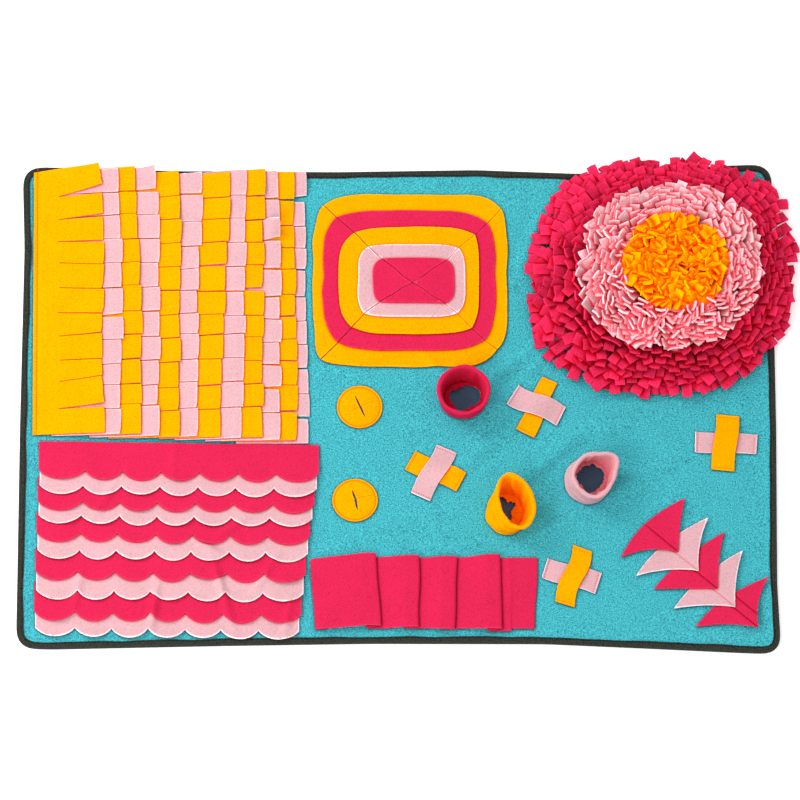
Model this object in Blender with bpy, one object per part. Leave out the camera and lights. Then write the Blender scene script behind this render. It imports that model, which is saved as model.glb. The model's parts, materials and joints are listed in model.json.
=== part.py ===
"""Fleece snuffle mat with sewn-on fringes, scallops, flaps, pockets, tubes and a ruffled flower.

The mat lies flat on z = 0 with its middle at the origin, its long side along X and
its far edge at +Y. Every size below is in millimetres; meshes are made in metres.
"""

import math
from collections import namedtuple

import bmesh
import bpy

MM = 0.001

# ---------------------------------------------------------------- driving sizes

GAP = 0.3                  # air between pieces that touch
TAPE = 1.0                 # binding tape
BACKING = 1.0              # backing cloth
FLEECE = 2.0               # every cut fleece piece
PANEL = 1.8                # the base panel, a lighter fleece

BINDING_WIDTH = 9.0        # how far the folded tape reaches in from the border
CORNER_RADIUS = 22.0       # rounded corners of the mat
CORNER_STEPS = 4
FLOOR_RAMP = (9.7, 12.5)   # inset where the cloth comes down from the tape to the floor

PANEL_TOP = BACKING + GAP + PANEL
CLOTH_Z = PANEL_TOP + GAP
LAYER = FLEECE + 0.4       # rise from one overlapping strip to the next
BINDING_TOP = 2 * TAPE + BACKING + PANEL + 3 * GAP

# The border, corner by corner and with its slow waves in between (x, y).
BORDER = {
    "far": ((-460, 341), (-300, 336), (-85, 334.5), (100, 337.5), (240, 332), (440, 344)),
    "far_right": (494, 346),
    "right": ((494.5, 225), (498, -30), (498, -250)),
    "near_right": (503, -349),
    "near": ((450, -347), (330, -341), (190, -334.5), (-40, -334), (-230, -337), (-460, -342)),
    "near_left": (-508, -341),
    "left": ((-507, -270), (-504.5, -30), (-500, 225)),
    "far_left": (-503, 342),
}

# Fringe block: strips sewn along their left edges, the first one lying on top.
FRINGE_TABS = 11
FRINGE_TAB_LENGTH = 58.5
FRINGE_TAB_PITCH = 33.45
FRINGE_SLIT = 1.5
FRINGE_TOP_Y = 333.0
FRINGE_DRIFT = 1.25        # each strip is sewn a little lower than the one before
FRINGE_LIFT_Y = 305.0      # beyond this the tabs climb over the binding
FRINGE_LIFT_SLOPE = 0.16
FRINGE_SEAMS = ((1, -487.5), (5, -387.0), (7, -320.0), (12, -218.0))     # strip, x
FRINGE_TIPS = (-394.5, -375, -352.5, -325, -294, -266, -227, -206, -181, -163, -142, -125)

# Scallop block: strips sewn along their far edges, the first one lying on top.
SCALLOP_COUNT = 7
SCALLOP_DEPTH = 12.5
SCALLOP_STEPS = 5
SCALLOP_FIRST_Y = -47.0
SCALLOP_PITCH = 25.0
SCALLOP_SLANT = -0.012
SCALLOP_LEFT = (-479.0, -485.0)         # first strip, last strip
SCALLOP_RIGHT = (-110.5, -134.0)
SCALLOP_HEIGHTS = (54, 52, 49, 43, 42, 43, 48, 51, 54, 50)
SCALLOP_EDGE_Y = -317.0    # past this the last strip lifts beside the binding
SCALLOP_EDGE_SLOPE = 0.3

# Stacked flaps: rounded rectangles slit from their middle to their corners.
FLAP_MIDDLE = (17.8, 178.7)
FLAP_SLIT = 1.0
FLAP_SLIT_REACH = 0.93
Flap = namedtuple("Flap", "colour x y width depth radius bulge")
FLAPS = (
    Flap("yellow", 13.0, 181.0, 256, 244, 40, 3.0),
    Flap("hot_pink", 12.0, 182.0, 228, 198, 34, 2.5),
    Flap("yellow", 12.0, 182.0, 185, 152, 30, 2.0),
    Flap("light_pink", 14.5, 181.0, 141, 103, 22, 2.0),
    Flap("hot_pink", 17.5, 181.5, 107, 63, 7, 1.5),
)

# Round pockets: one slit gapes, the other crosses it closed.
POCKET_SIDES = 24
Pocket = namedtuple("Pocket", "name x y radius gaping_angle gape reach")
POCKETS = (
    Pocket("pocket_disc_1", -54.2, -0.6, 30.0, -66, 1.6, 18),
    Pocket("pocket_disc_2", -60.2, -132.5, 30.0, -75, 2.0, 16),
)

# Crossed strips, stitched down at their ends.
CROSS_LENGTH = 78.0
CROSS_WIDTH = 28.0
Cross = namedtuple("Cross", "name x y under over under_colour over_colour")
CROSSES = (
    Cross("cross_1", 45.0, -93.0, -25, 63, "yellow", "light_pink"),
    Cross("cross_2", 181.0, 0.5, 66, -26, "yellow", "light_pink"),
    Cross("cross_3", 431.0, -52.0, -2, 85, "light_pink", "yellow"),
    Cross("cross_4", 227.5, -240.0, -17, 74, "light_pink", "yellow"),
)
# The upper strip's arch: distance from its middle, rise of its underside.
CROSS_ARCH = ((0, 4.6), (7, 4.2), (16, 3.2), (24, 1.6), (31, 0.0), (39, 0.0))

# Standing tubes of doubled fleece, sewn round holes in the base panel.
TUBE_SIDES = 24
TUBE_WALL = 6.5
TUBE_HOLE_INSET = 0.7
Tube = namedtuple("Tube", "name colour base_x base_y base_rx base_ry "
                          "rim_x rim_y rim_rx rim_ry height corner_angle corner")
TUBES = (
    Tube("tube_1", "hot_pink", 82.0, 11.5, 27, 27, 82.5, 11.5, 36, 36, 36, 0, 0.0),
    Tube("tube_2", "yellow", 140.0, -150.0, 27, 30, 151.0, -145.0, 27, 38, 37, 0, 0.0),
    Tube("tube_3", "light_pink", 250.0, -103.0, 29, 30, 260.0, -107.0, 32, 31, 36, 42, 9.0),
)
# Wall profile: share of the height, share of the way from outer to inner face.
TUBE_PROFILE = ((0.0, 0.0), (0.45, 0.0), (0.92, 0.0), (1.0, 0.5), (0.92, 1.0), (0.45, 1.0), (0.0, 1.0))

# Pleated strip: panels folded over one another to the right.
PLEAT_LEFT = -118.0
PLEAT_NEAR_Y = -315.0
PLEAT_FAR_Y = -214.0
PLEAT_FOLDS = (-30.0, 24.0, 73.0, 132.5)      # right edges of the first four panels
PLEAT_RIGHT = 180.0
PLEAT_OVERLAP = 18.0

# Arrow pieces, the first one on top: each has two tips, a nose and a back point.
ARROW_RISE = 0.072
ARROW_SPINE = (0.712, -0.702)
ARROW_EDGE_X = 478.0       # past this the last arrow's tip lifts beside the binding
ARROW_EDGE_SLOPE = 0.3
Arrow = namedtuple("Arrow", "colour far_tip near_tip nose back")
ARROWS = (
    Arrow("hot_pink", (377.6, -128.4), (293.0, -211.9), (368.1, -205.0), (324.3, -164.4)),
    Arrow("light_pink", (408.4, -156.1), (312.9, -238.0), (395.3, -232.2), (350.6, -192.0)),
    Arrow("hot_pink", (429.7, -176.4), (336.6, -256.3), (420.2, -257.6), (375.5, -217.4)),
    Arrow("light_pink", (453.8, -202.5), (362.7, -284.2), (443.4, -282.9), (398.7, -242.7)),
    Arrow("hot_pink", (487.7, -240.0), (391.3, -309.8), (473.5, -311.6), (428.8, -271.4)),
)

# Ruffled flower: three nested rings of cut tabs, each as one turned body.
FLOWER_X = 339.0
FLOWER_Y = 189.0
FLOWER_SIDES = 32
FLOWER_GAP = 0.4
Seam = namedtuple("Seam", "low_x low_radius high_x high_y high_radius high_z")
CORE_SEAM = Seam(16.0, 42.0, 28.0, 2.0, 68.0, 66.0)
RING_SEAM = Seam(9.0, 80.0, 15.0, 1.0, 126.0, 52.0)
FLOWER_REACH = 177.0
FLOWER_WAVES = ((5, 3.0, 0.6), (8, 2.0, 2.1), (13, 1.5, 4.0))            # count, size, phase

COLOURS = {
    "turquoise": (0.08, 0.55, 0.62),
    "slate": (0.032, 0.047, 0.067),
    "charcoal": (0.05, 0.06, 0.055),
    "yellow": (0.97, 0.56, 0.005),
    "light_pink": (0.93, 0.55, 0.60),
    "hot_pink": (0.82, 0.02, 0.10),
}


# ---------------------------------------------------------------- making meshes

def clear_scene():
    for old in list(bpy.data.objects):
        bpy.data.objects.remove(old, do_unlink=True)


def make_materials():
    """One matt cloth finish for each colour of cloth."""
    made = {}
    for name, colour in COLOURS.items():
        material = bpy.data.materials.new(name)
        material.use_nodes = True
        shader = material.node_tree.nodes["Principled BSDF"]
        shader.inputs["Base Color"].default_value = (*colour, 1.0)
        shader.inputs["Roughness"].default_value = 0.95
        shader.inputs["Metallic"].default_value = 0.0
        made[name] = material
    return made


def finish_object(name, bm, material):
    """Turn a millimetre bmesh into an object in metres with its faces pointing out."""
    bmesh.ops.scale(bm, vec=(MM, MM, MM), verts=bm.verts[:])
    bmesh.ops.recalc_face_normals(bm, faces=bm.faces[:])
    mesh = bpy.data.meshes.new(name)
    bm.to_mesh(mesh)
    bm.free()
    mesh.materials.append(material)
    piece = bpy.data.objects.new(name, mesh)
    bpy.context.scene.collection.objects.link(piece)
    return piece


def cut_cloth(name, patterns, underside, material, folds=()):
    """Cut flat patterns, crease them along the folds, lift them and give them thickness.

    patterns are outlines that share points where they join, folds are lines given as a
    point and a direction across the line, and underside(x, y) is the height of the cloth.
    """
    bm = bmesh.new()
    for pattern in patterns:
        bm.faces.new([bm.verts.new((x, y, 0.0)) for x, y in pattern])
    bmesh.ops.remove_doubles(bm, verts=bm.verts[:], dist=0.01)
    for point, across in folds:
        everything = bm.verts[:] + bm.edges[:] + bm.faces[:]
        bmesh.ops.bisect_plane(bm, geom=everything, dist=0.001,
                               plane_co=(*point, 0.0), plane_no=(*across, 0.0))
    bmesh.ops.triangulate(bm, faces=bm.faces[:])
    for vert in bm.verts:
        vert.co.z = underside(vert.co.x, vert.co.y)
    extruded = bmesh.ops.extrude_face_region(bm, geom=bm.faces[:])
    upper = [part for part in extruded["geom"] if isinstance(part, bmesh.types.BMVert)]
    bmesh.ops.translate(bm, vec=(0.0, 0.0, FLEECE), verts=upper)
    return finish_object(name, bm, material)


def loft(name, loops, material, ring=False):
    """Skin a row of loops; a ring joins the last loop to the first, otherwise both are capped."""
    bm = bmesh.new()
    rows = [[bm.verts.new(point) for point in loop] for loop in loops]
    pairs = list(zip(rows, rows[1:]))
    if ring:
        pairs.append((rows[-1], rows[0]))
    else:
        bm.faces.new(list(reversed(rows[0])))
        bm.faces.new(rows[-1])
    for row, following in pairs:
        for i in range(len(row)):
            j = (i + 1) % len(row)
            bm.faces.new((row[i], row[j], following[j], following[i]))
    return finish_object(name, bm, material)


def at_height(outline, z):
    return [(x, y, z) for x, y in outline]


def mix(a, b, share):
    return a + (b - a) * share


# ---------------------------------------------------------------- mat and binding

def rounded_corner(corner, before, after):
    """Points of the arc that rounds a corner between its two neighbours."""
    def towards(target):
        dx, dy = target[0] - corner[0], target[1] - corner[1]
        reach = CORNER_RADIUS / math.hypot(dx, dy)
        return corner[0] + dx * reach, corner[1] + dy * reach

    start, end = towards(before), towards(after)
    arc = []
    for step in range(CORNER_STEPS + 1):
        turn = math.pi / 2 * step / CORNER_STEPS
        from_start, from_end = 1 - math.sin(turn), 1 - math.cos(turn)
        arc.append(tuple(corner[i] + (start[i] - corner[i]) * from_start
                         + (end[i] - corner[i]) * from_end for i in (0, 1)))
    return arc


def mat_outline():
    """The border of the mat, anticlockwise from the far left corner."""
    sides = [BORDER[side] for side in ("left", "near", "right", "far")]
    sides = [tuple(reversed(side)) for side in sides]
    corners = [BORDER[c] for c in ("far_left", "near_left", "near_right", "far_right")]
    outline = []
    for number, corner in enumerate(corners):
        outline += rounded_corner(corner, sides[number - 1][-1], sides[number][0])
        outline += sides[number]
    return outline


def inset(outline, distance):
    """Move every point of an anticlockwise outline inwards by the same distance."""
    moved = []
    count = len(outline)
    for i in range(count):
        (ax, ay), (bx, by), (cx, cy) = outline[i - 1], outline[i], outline[(i + 1) % count]
        first = math.atan2(by - ay, bx - ax)
        second = math.atan2(cy - by, cx - bx)
        bend = (second - first + math.pi) % (2 * math.pi) - math.pi
        inward = first + bend / 2 + math.pi / 2
        reach = distance / math.cos(bend / 2)
        moved.append((bx + reach * math.cos(inward), by + reach * math.sin(inward)))
    return moved


def make_mat_layer(name, outline, floor_z, border_z, thickness, material):
    """A mat layer that lies flat in its middle and is raised along its bound border."""
    raised, lowered = (inset(outline, distance) for distance in FLOOR_RAMP)
    border = inset(outline, TAPE + GAP)
    loops = [
        at_height(lowered, floor_z),
        at_height(raised, border_z),
        at_height(border, border_z),
        at_height(border, border_z + thickness),
        at_height(raised, border_z + thickness),
        at_height(lowered, floor_z + thickness),
    ]
    return loft(name, loops, material)


def cut_tube_holes(panel):
    """Open the base panel inside each standing tube."""
    for tube in TUBES:
        reach = TUBE_WALL + TUBE_HOLE_INSET
        hole = ellipse_points(tube.base_x, tube.base_y, tube.base_rx - reach, tube.base_ry - reach)
        loops = [at_height(hole, -5.0), at_height(hole, 10.0)]
        cutter = loft(f"{tube.name}_hole_cutter", loops, panel.data.materials[0])
        cutter.hide_render = True
        cutter.display_type = "WIRE"
        opening = panel.modifiers.new(f"{tube.name}_hole", "BOOLEAN")
        opening.operation = "DIFFERENCE"
        opening.solver = "EXACT"
        opening.object = cutter


def make_binding(outline, material):
    """Tape folded round the border: an upper leg, the fold and a lower leg."""
    fold = 0.6
    section = (
        (BINDING_WIDTH, 0.0), (fold, 0.0), (0.0, fold),
        (0.0, BINDING_TOP - fold), (fold, BINDING_TOP), (BINDING_WIDTH, BINDING_TOP),
        (BINDING_WIDTH, BINDING_TOP - TAPE), (TAPE, BINDING_TOP - TAPE),
        (TAPE, TAPE), (BINDING_WIDTH, TAPE),
    )
    loops = [at_height(inset(outline, distance), z) for distance, z in section]
    loft("binding", loops, material, ring=True)


def make_mat(materials):
    outline = mat_outline()
    make_mat_layer("backing", outline, 0.0, TAPE + GAP, BACKING, materials["slate"])
    step = BACKING + GAP
    panel = make_mat_layer("base_fleece", outline, step, TAPE + GAP + step, PANEL,
                           materials["turquoise"])
    cut_tube_holes(panel)
    make_binding(outline, materials["charcoal"])


# ---------------------------------------------------------------- fringe and scallops

def fringe_layers_begun(x):
    """How many strips have started by x, as a number that rises evenly between seams."""
    if x <= FRINGE_SEAMS[0][1]:
        return FRINGE_SEAMS[0][0]
    for (first, left), (last, right) in zip(FRINGE_SEAMS, FRINGE_SEAMS[1:]):
        if x <= right:
            return mix(first, last, (x - left) / (right - left))
    return FRINGE_SEAMS[-1][0]


def fringe_seam(number):
    """X of the sewn edge of a strip."""
    for (first, left), (last, right) in zip(FRINGE_SEAMS, FRINGE_SEAMS[1:]):
        if number <= last:
            return mix(left, right, (number - first) / (last - first))


def fringe_outline(number):
    """A comb: an uncut band on the left with tabs pointing right."""
    seam, tip = fringe_seam(number), FRINGE_TIPS[number - 1]
    root = tip - FRINGE_TAB_LENGTH
    top = FRINGE_TOP_Y - FRINGE_DRIFT * (number - 1)
    bottom = top - FRINGE_TABS * FRINGE_TAB_PITCH
    half = FRINGE_SLIT / 2
    outline = [(seam, top), (seam, bottom)]
    for tab in range(FRINGE_TABS):
        low = bottom + tab * FRINGE_TAB_PITCH
        high = low + FRINGE_TAB_PITCH
        low = low if tab == 0 else low + half
        high = high if tab == FRINGE_TABS - 1 else high - half
        corners = [(root, low), (tip, low), (tip, high), (root, high)]
        corners = corners if tab else corners[1:]
        outline += corners if tab < FRINGE_TABS - 1 else corners[:-1]
    return outline


def make_fringe(materials):
    folds = [((x, 0.0), (1.0, 0.0)) for _, x in FRINGE_SEAMS[1:]]
    folds.append(((0.0, FRINGE_LIFT_Y), (0.0, 1.0)))
    for number in range(1, len(FRINGE_TIPS) + 1):
        def underside(x, y):
            shingle = LAYER * (fringe_layers_begun(x) - number)
            return CLOTH_Z + shingle + FRINGE_LIFT_SLOPE * max(0.0, y - FRINGE_LIFT_Y)

        colour = "yellow" if number % 2 else "light_pink"
        cut_cloth(f"fringe_{number:02d}", [fringe_outline(number)], underside,
                  materials[colour], folds)


def scallop_outline(number):
    """A band with a straight sewn edge and a row of round scallops along its free edge."""
    share = (number - 1) / (len(SCALLOP_HEIGHTS) - 1)
    left, right = mix(*SCALLOP_LEFT, share), mix(*SCALLOP_RIGHT, share)
    seam = SCALLOP_FIRST_Y - SCALLOP_PITCH * (number - 1)
    valley = seam - SCALLOP_HEIGHTS[number - 1] + SCALLOP_DEPTH

    def slanted(x, y):
        return x, y + SCALLOP_SLANT * (x - left)

    outline = [slanted(right, seam), slanted(left, seam)]
    steps = SCALLOP_COUNT * SCALLOP_STEPS
    for step in range(steps + 1):
        swing = math.pi * (step % SCALLOP_STEPS) / SCALLOP_STEPS
        outline.append(slanted(mix(left, right, step / steps), valley - SCALLOP_DEPTH * math.sin(swing)))
    return outline


def make_scallops(materials):
    last_seam = SCALLOP_FIRST_Y - SCALLOP_PITCH * (len(SCALLOP_HEIGHTS) - 1)
    slope = LAYER / SCALLOP_PITCH
    folds = [((SCALLOP_LEFT[0], last_seam), (-SCALLOP_SLANT, 1.0)),
             ((0.0, SCALLOP_EDGE_Y), (0.0, 1.0))]
    for number in range(1, len(SCALLOP_HEIGHTS) + 1):
        seam = SCALLOP_FIRST_Y - SCALLOP_PITCH * (number - 1)

        def underside(x, y):
            straight = y - SCALLOP_SLANT * (x - SCALLOP_LEFT[0])
            shingle = slope * (seam - max(straight, last_seam))
            return CLOTH_Z + shingle + SCALLOP_EDGE_SLOPE * max(0.0, SCALLOP_EDGE_Y - y)

        colour = "hot_pink" if number % 2 else "light_pink"
        cut_cloth(f"scallop_{number:02d}", [scallop_outline(number)], underside,
                  materials[colour], folds)


# ---------------------------------------------------------------- flaps and pockets

def ellipse_points(x, y, rx, ry, sides=TUBE_SIDES, corner_angle=0.0, corner=0.0):
    """Points round an ellipse, which may be drawn out into one soft corner."""
    points = []
    for i in range(sides):
        turn = 2 * math.pi * i / sides
        off = (turn - math.radians(corner_angle) + math.pi) % (2 * math.pi) - math.pi
        extra = corner * math.exp(-(off / 0.4) ** 2)
        points.append((x + (rx + extra) * math.cos(turn), y + (ry + extra) * math.sin(turn)))
    return points


def rounded_rectangle(flap, steps=4):
    """Outline from the middle of the right side, as four quarters that start mid-side."""
    half_x, half_y = flap.width / 2, flap.depth / 2
    quarters = []
    for sx, sy, turn in ((1, 1, 0), (-1, 1, 90), (-1, -1, 180), (1, -1, 270)):
        middle = (sx * (half_x + flap.bulge), 0) if turn in (0, 180) else (0, sy * (half_y + flap.bulge))
        quarter = [middle]
        for step in range(steps + 1):
            angle = math.radians(turn + 90 * step / steps)
            quarter.append((sx * (half_x - flap.radius) + flap.radius * math.cos(angle),
                            sy * (half_y - flap.radius) + flap.radius * math.sin(angle)))
        quarters.append([(flap.x + px, flap.y + py) for px, py in quarter])
    return quarters


def slit_sectors(quarters, arms, middle, reach, tips):
    """Four flaps round a cross of slits.

    Each quarter is a stretch of the outline that holds one slit's end, arms gives which
    of its points that is, and tips are the points of the four flaps beside the middle.
    """
    ends = []
    for quarter, arm in zip(quarters, arms):
        px, py = quarter[arm]
        ends.append((mix(middle[0], px, reach), mix(middle[1], py, reach)))
    sectors = []
    for i in range(4):
        j = (i + 1) % 4
        rim = quarters[i][arms[i]:] + quarters[j][:arms[j] + 1]
        sectors.append(rim + [ends[j], tips[i], ends[i]])
    return sectors


def make_flaps(materials):
    mx, my = FLAP_MIDDLE
    tips = [(mx, my + FLAP_SLIT), (mx - FLAP_SLIT, my), (mx, my - FLAP_SLIT), (mx + FLAP_SLIT, my)]
    for number, flap in enumerate(FLAPS):
        height = CLOTH_Z + number * (FLEECE + GAP)
        quarters = rounded_rectangle(flap)
        sectors = slit_sectors(quarters, [3] * 4, FLAP_MIDDLE, FLAP_SLIT_REACH, tips)
        cut_cloth(f"flap_layer_{number + 1}", sectors, lambda x, y, z=height: z,
                  materials[flap.colour])


def make_pockets(materials):
    per_quarter = POCKET_SIDES // 4
    for pocket in POCKETS:
        turn = math.radians(pocket.gaping_angle)
        circle = []
        for i in range(POCKET_SIDES):
            angle = turn - math.pi / 4 + 2 * math.pi * i / POCKET_SIDES
            circle.append((pocket.x + pocket.radius * math.cos(angle),
                           pocket.y + pocket.radius * math.sin(angle)))
        quarters = [circle[i * per_quarter:(i + 1) * per_quarter] for i in range(4)]
        tips = []
        for along, aside in ((1, 1), (-1, 1), (-1, -1), (1, -1)):
            a, b = along * FLAP_SLIT / 2, aside * pocket.gape
            tips.append((pocket.x + a * math.cos(turn) - b * math.sin(turn),
                         pocket.y + a * math.sin(turn) + b * math.cos(turn)))
        sectors = slit_sectors(quarters, [per_quarter // 2] * 4, (pocket.x, pocket.y),
                               pocket.reach / pocket.radius, tips)
        cut_cloth(pocket.name, sectors, lambda x, y: CLOTH_Z, materials["yellow"])


# ---------------------------------------------------------------- crossed strips

def arch_height(distance):
    """Rise of the upper strip's underside at a distance from its middle."""
    distance = min(abs(distance), CROSS_ARCH[-1][0])
    for (near, high), (far, low) in zip(CROSS_ARCH, CROSS_ARCH[1:]):
        if distance <= far:
            return mix(high, low, (distance - near) / (far - near))


def make_cross_strip(name, cross, angle, stations, rise, material):
    """A straight strip through the middle of a cross, in bays between its stations."""
    ux, uy = math.cos(math.radians(angle)), math.sin(math.radians(angle))

    def place(along, across):
        return cross.x + along * ux - across * uy, cross.y + along * uy + across * ux

    bays = []
    for start, end in zip(stations, stations[1:]):
        half = CROSS_WIDTH / 2
        bays.append([place(start, -half), place(end, -half), place(end, half), place(start, half)])

    def underside(x, y):
        return CLOTH_Z + rise((x - cross.x) * ux + (y - cross.y) * uy)

    cut_cloth(name, bays, underside, material)


def make_crosses(materials):
    half = CROSS_LENGTH / 2
    near_side = [distance for distance, _ in CROSS_ARCH]
    stations = [-distance for distance in reversed(near_side[1:])] + near_side
    for cross in CROSSES:
        make_cross_strip(f"{cross.name}_under", cross, cross.under, (-half, half),
                         lambda along: 0.0, materials[cross.under_colour])
        make_cross_strip(f"{cross.name}_over", cross, cross.over, stations,
                         arch_height, materials[cross.over_colour])


# ---------------------------------------------------------------- tubes, pleats, arrows

def make_tubes(materials):
    for tube in TUBES:
        loops = []
        for rise, inner in TUBE_PROFILE:
            wall = TUBE_WALL * inner
            loop = ellipse_points(
                mix(tube.base_x, tube.rim_x, rise), mix(tube.base_y, tube.rim_y, rise),
                mix(tube.base_rx, tube.rim_rx, rise) - wall,
                mix(tube.base_ry, tube.rim_ry, rise) - wall,
                corner_angle=tube.corner_angle, corner=tube.corner * rise)
            loops.append(at_height(loop, CLOTH_Z + tube.height * rise))
        loft(tube.name, loops, materials[tube.colour], ring=True)


def pleat_section():
    """Cross-section of the pleated strip: each panel ends in a fold back and a fold forward."""
    low, middle, high = (CLOTH_Z + level * (FLEECE + GAP) for level in range(3))
    run = 3.0
    above = [(PLEAT_LEFT, low + FLEECE), (PLEAT_LEFT + run, low + FLEECE)]
    below = [(PLEAT_LEFT, low), (PLEAT_LEFT + run, low)]
    for fold in PLEAT_FOLDS:
        back = fold - PLEAT_OVERLAP
        above += [
            (back - run, high + FLEECE), (fold, high + FLEECE), (fold, middle),
            (back + FLEECE, middle), (back + FLEECE, low + FLEECE), (fold + run, low + FLEECE),
        ]
        below += [
            (back - run, high), (fold - FLEECE, high), (fold - FLEECE, middle + FLEECE),
            (back, middle + FLEECE), (back, low), (fold + run, low),
        ]
    above.append((PLEAT_RIGHT, low + FLEECE))
    below.append((PLEAT_RIGHT, low))
    return below + list(reversed(above))


def make_pleats(materials):
    section = pleat_section()
    loops = [[(x, y, z) for x, z in section] for y in (PLEAT_NEAR_Y, PLEAT_FAR_Y)]
    loft("pleated_strip", loops, materials["hot_pink"])


def make_arrows(materials):
    folds = [((ARROW_EDGE_X, 0.0), (1.0, 0.0))]
    for number, arrow in enumerate(ARROWS, start=1):
        start = arrow.back[0] * ARROW_SPINE[0] + arrow.back[1] * ARROW_SPINE[1]

        def underside(x, y):
            along = x * ARROW_SPINE[0] + y * ARROW_SPINE[1]
            shingle = ARROW_RISE * (along - start)
            return CLOTH_Z + max(0.0, shingle) + ARROW_EDGE_SLOPE * max(0.0, x - ARROW_EDGE_X)

        outline = [arrow.far_tip, arrow.back, arrow.near_tip, arrow.nose]
        cut_cloth(f"arrow_{number}", [outline], underside, materials[arrow.colour], folds)


# ---------------------------------------------------------------- flower

def flower_loop(x, y, radius, z, waves=0.0):
    """A level ring of the flower; its waves make the outline as uneven as cut tabs."""
    loop = []
    for i in range(FLOWER_SIDES):
        turn = 2 * math.pi * i / FLOWER_SIDES
        ripple = sum(size * math.sin(count * turn + phase) for count, size, phase in FLOWER_WAVES)
        reach = radius + waves * ripple
        loop.append((FLOWER_X + x + reach * math.cos(turn), FLOWER_Y + y + reach * math.sin(turn), z))
    return loop


def seam_loops(seam, gap):
    """Lower and upper loop of the slanting face where two rings of tabs meet."""
    return (flower_loop(seam.low_x, 0.0, seam.low_radius + gap, CLOTH_Z),
            flower_loop(seam.high_x, seam.high_y, seam.high_radius + gap, seam.high_z))


def make_flower(materials):
    inside, outside = -FLOWER_GAP / 2, FLOWER_GAP / 2
    core_low, core_high = seam_loops(CORE_SEAM, inside)
    core = [
        core_low, core_high,
        flower_loop(CORE_SEAM.high_x, CORE_SEAM.high_y, CORE_SEAM.high_radius - 14, 74.0),
        flower_loop(CORE_SEAM.high_x, CORE_SEAM.high_y, CORE_SEAM.high_radius - 38, 77.0),
    ]
    loft("flower_core", core, materials["yellow"])

    ring_in_low, ring_in_high = seam_loops(CORE_SEAM, outside)
    ring_out_low, ring_out_high = seam_loops(RING_SEAM, inside)
    ring = [
        ring_in_low, ring_in_high,
        flower_loop(21.0, 1.5, 98.0, 66.0),
        ring_out_high, ring_out_low,
    ]
    loft("flower_middle", ring, materials["light_pink"], ring=True)

    skirt_in_low, skirt_in_high = seam_loops(RING_SEAM, outside)
    skirt = [
        skirt_in_low, skirt_in_high,
        flower_loop(8.0, 0.0, 146.0, 42.0, waves=0.5),
        flower_loop(0.0, 0.0, FLOWER_REACH - 6, 24.0, waves=1.0),
        flower_loop(0.0, 0.0, FLOWER_REACH, 16.0, waves=1.0),
        flower_loop(0.0, 0.0, FLOWER_REACH - 8, 11.0, waves=1.0),
        flower_loop(0.0, 0.0, 140.0, 8.6),
        flower_loop(4.0, 0.0, 116.0, CLOTH_Z),
    ]
    loft("flower_outer", skirt, materials["hot_pink"], ring=True)


def main():
    clear_scene()
    materials = make_materials()
    make_mat(materials)
    make_fringe(materials)
    make_scallops(materials)
    make_flaps(materials)
    make_pockets(materials)
    make_crosses(materials)
    make_tubes(materials)
    make_pleats(materials)
    make_arrows(materials)
    make_flower(materials)


main()
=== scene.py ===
"""Looks of a fleece snuffle mat: every piece of cloth as a thin sheet in its lying shape.

Lengths are in millimetres until make_object turns them into metres. The mat lies flat
round the origin, X along its long side, its far edge at +Y, +Z up.
"""

import json
import math
from collections import namedtuple

import bpy
import numpy as np
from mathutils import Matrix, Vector
from mathutils.geometry import delaunay_2d_cdt

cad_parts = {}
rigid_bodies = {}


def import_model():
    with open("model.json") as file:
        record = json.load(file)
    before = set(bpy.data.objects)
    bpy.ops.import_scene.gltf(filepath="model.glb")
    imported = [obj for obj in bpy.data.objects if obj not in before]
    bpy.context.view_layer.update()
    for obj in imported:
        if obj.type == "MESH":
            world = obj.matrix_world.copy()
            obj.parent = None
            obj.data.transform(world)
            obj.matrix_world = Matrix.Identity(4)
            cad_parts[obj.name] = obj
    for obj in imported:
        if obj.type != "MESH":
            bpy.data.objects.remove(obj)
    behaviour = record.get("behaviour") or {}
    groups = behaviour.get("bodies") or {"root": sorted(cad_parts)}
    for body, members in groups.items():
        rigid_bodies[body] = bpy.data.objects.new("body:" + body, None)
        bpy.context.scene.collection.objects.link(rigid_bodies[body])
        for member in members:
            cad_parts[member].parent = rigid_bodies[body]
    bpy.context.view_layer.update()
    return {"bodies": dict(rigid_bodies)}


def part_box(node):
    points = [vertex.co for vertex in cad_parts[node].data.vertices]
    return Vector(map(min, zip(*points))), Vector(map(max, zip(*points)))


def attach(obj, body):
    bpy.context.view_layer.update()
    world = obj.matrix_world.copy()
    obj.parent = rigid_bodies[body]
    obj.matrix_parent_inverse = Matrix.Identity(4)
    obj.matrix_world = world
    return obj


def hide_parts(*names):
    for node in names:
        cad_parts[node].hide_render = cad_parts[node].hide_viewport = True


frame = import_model()

MM = 0.001
BODY = next(iter(frame["bodies"]))


def node_box(node):
    """Lowest and highest corner of a solid, in millimetres."""
    low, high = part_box(node)
    return np.array(low) / MM, np.array(high) / MM


# ---------------------------------------------------------------- sizes

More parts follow.
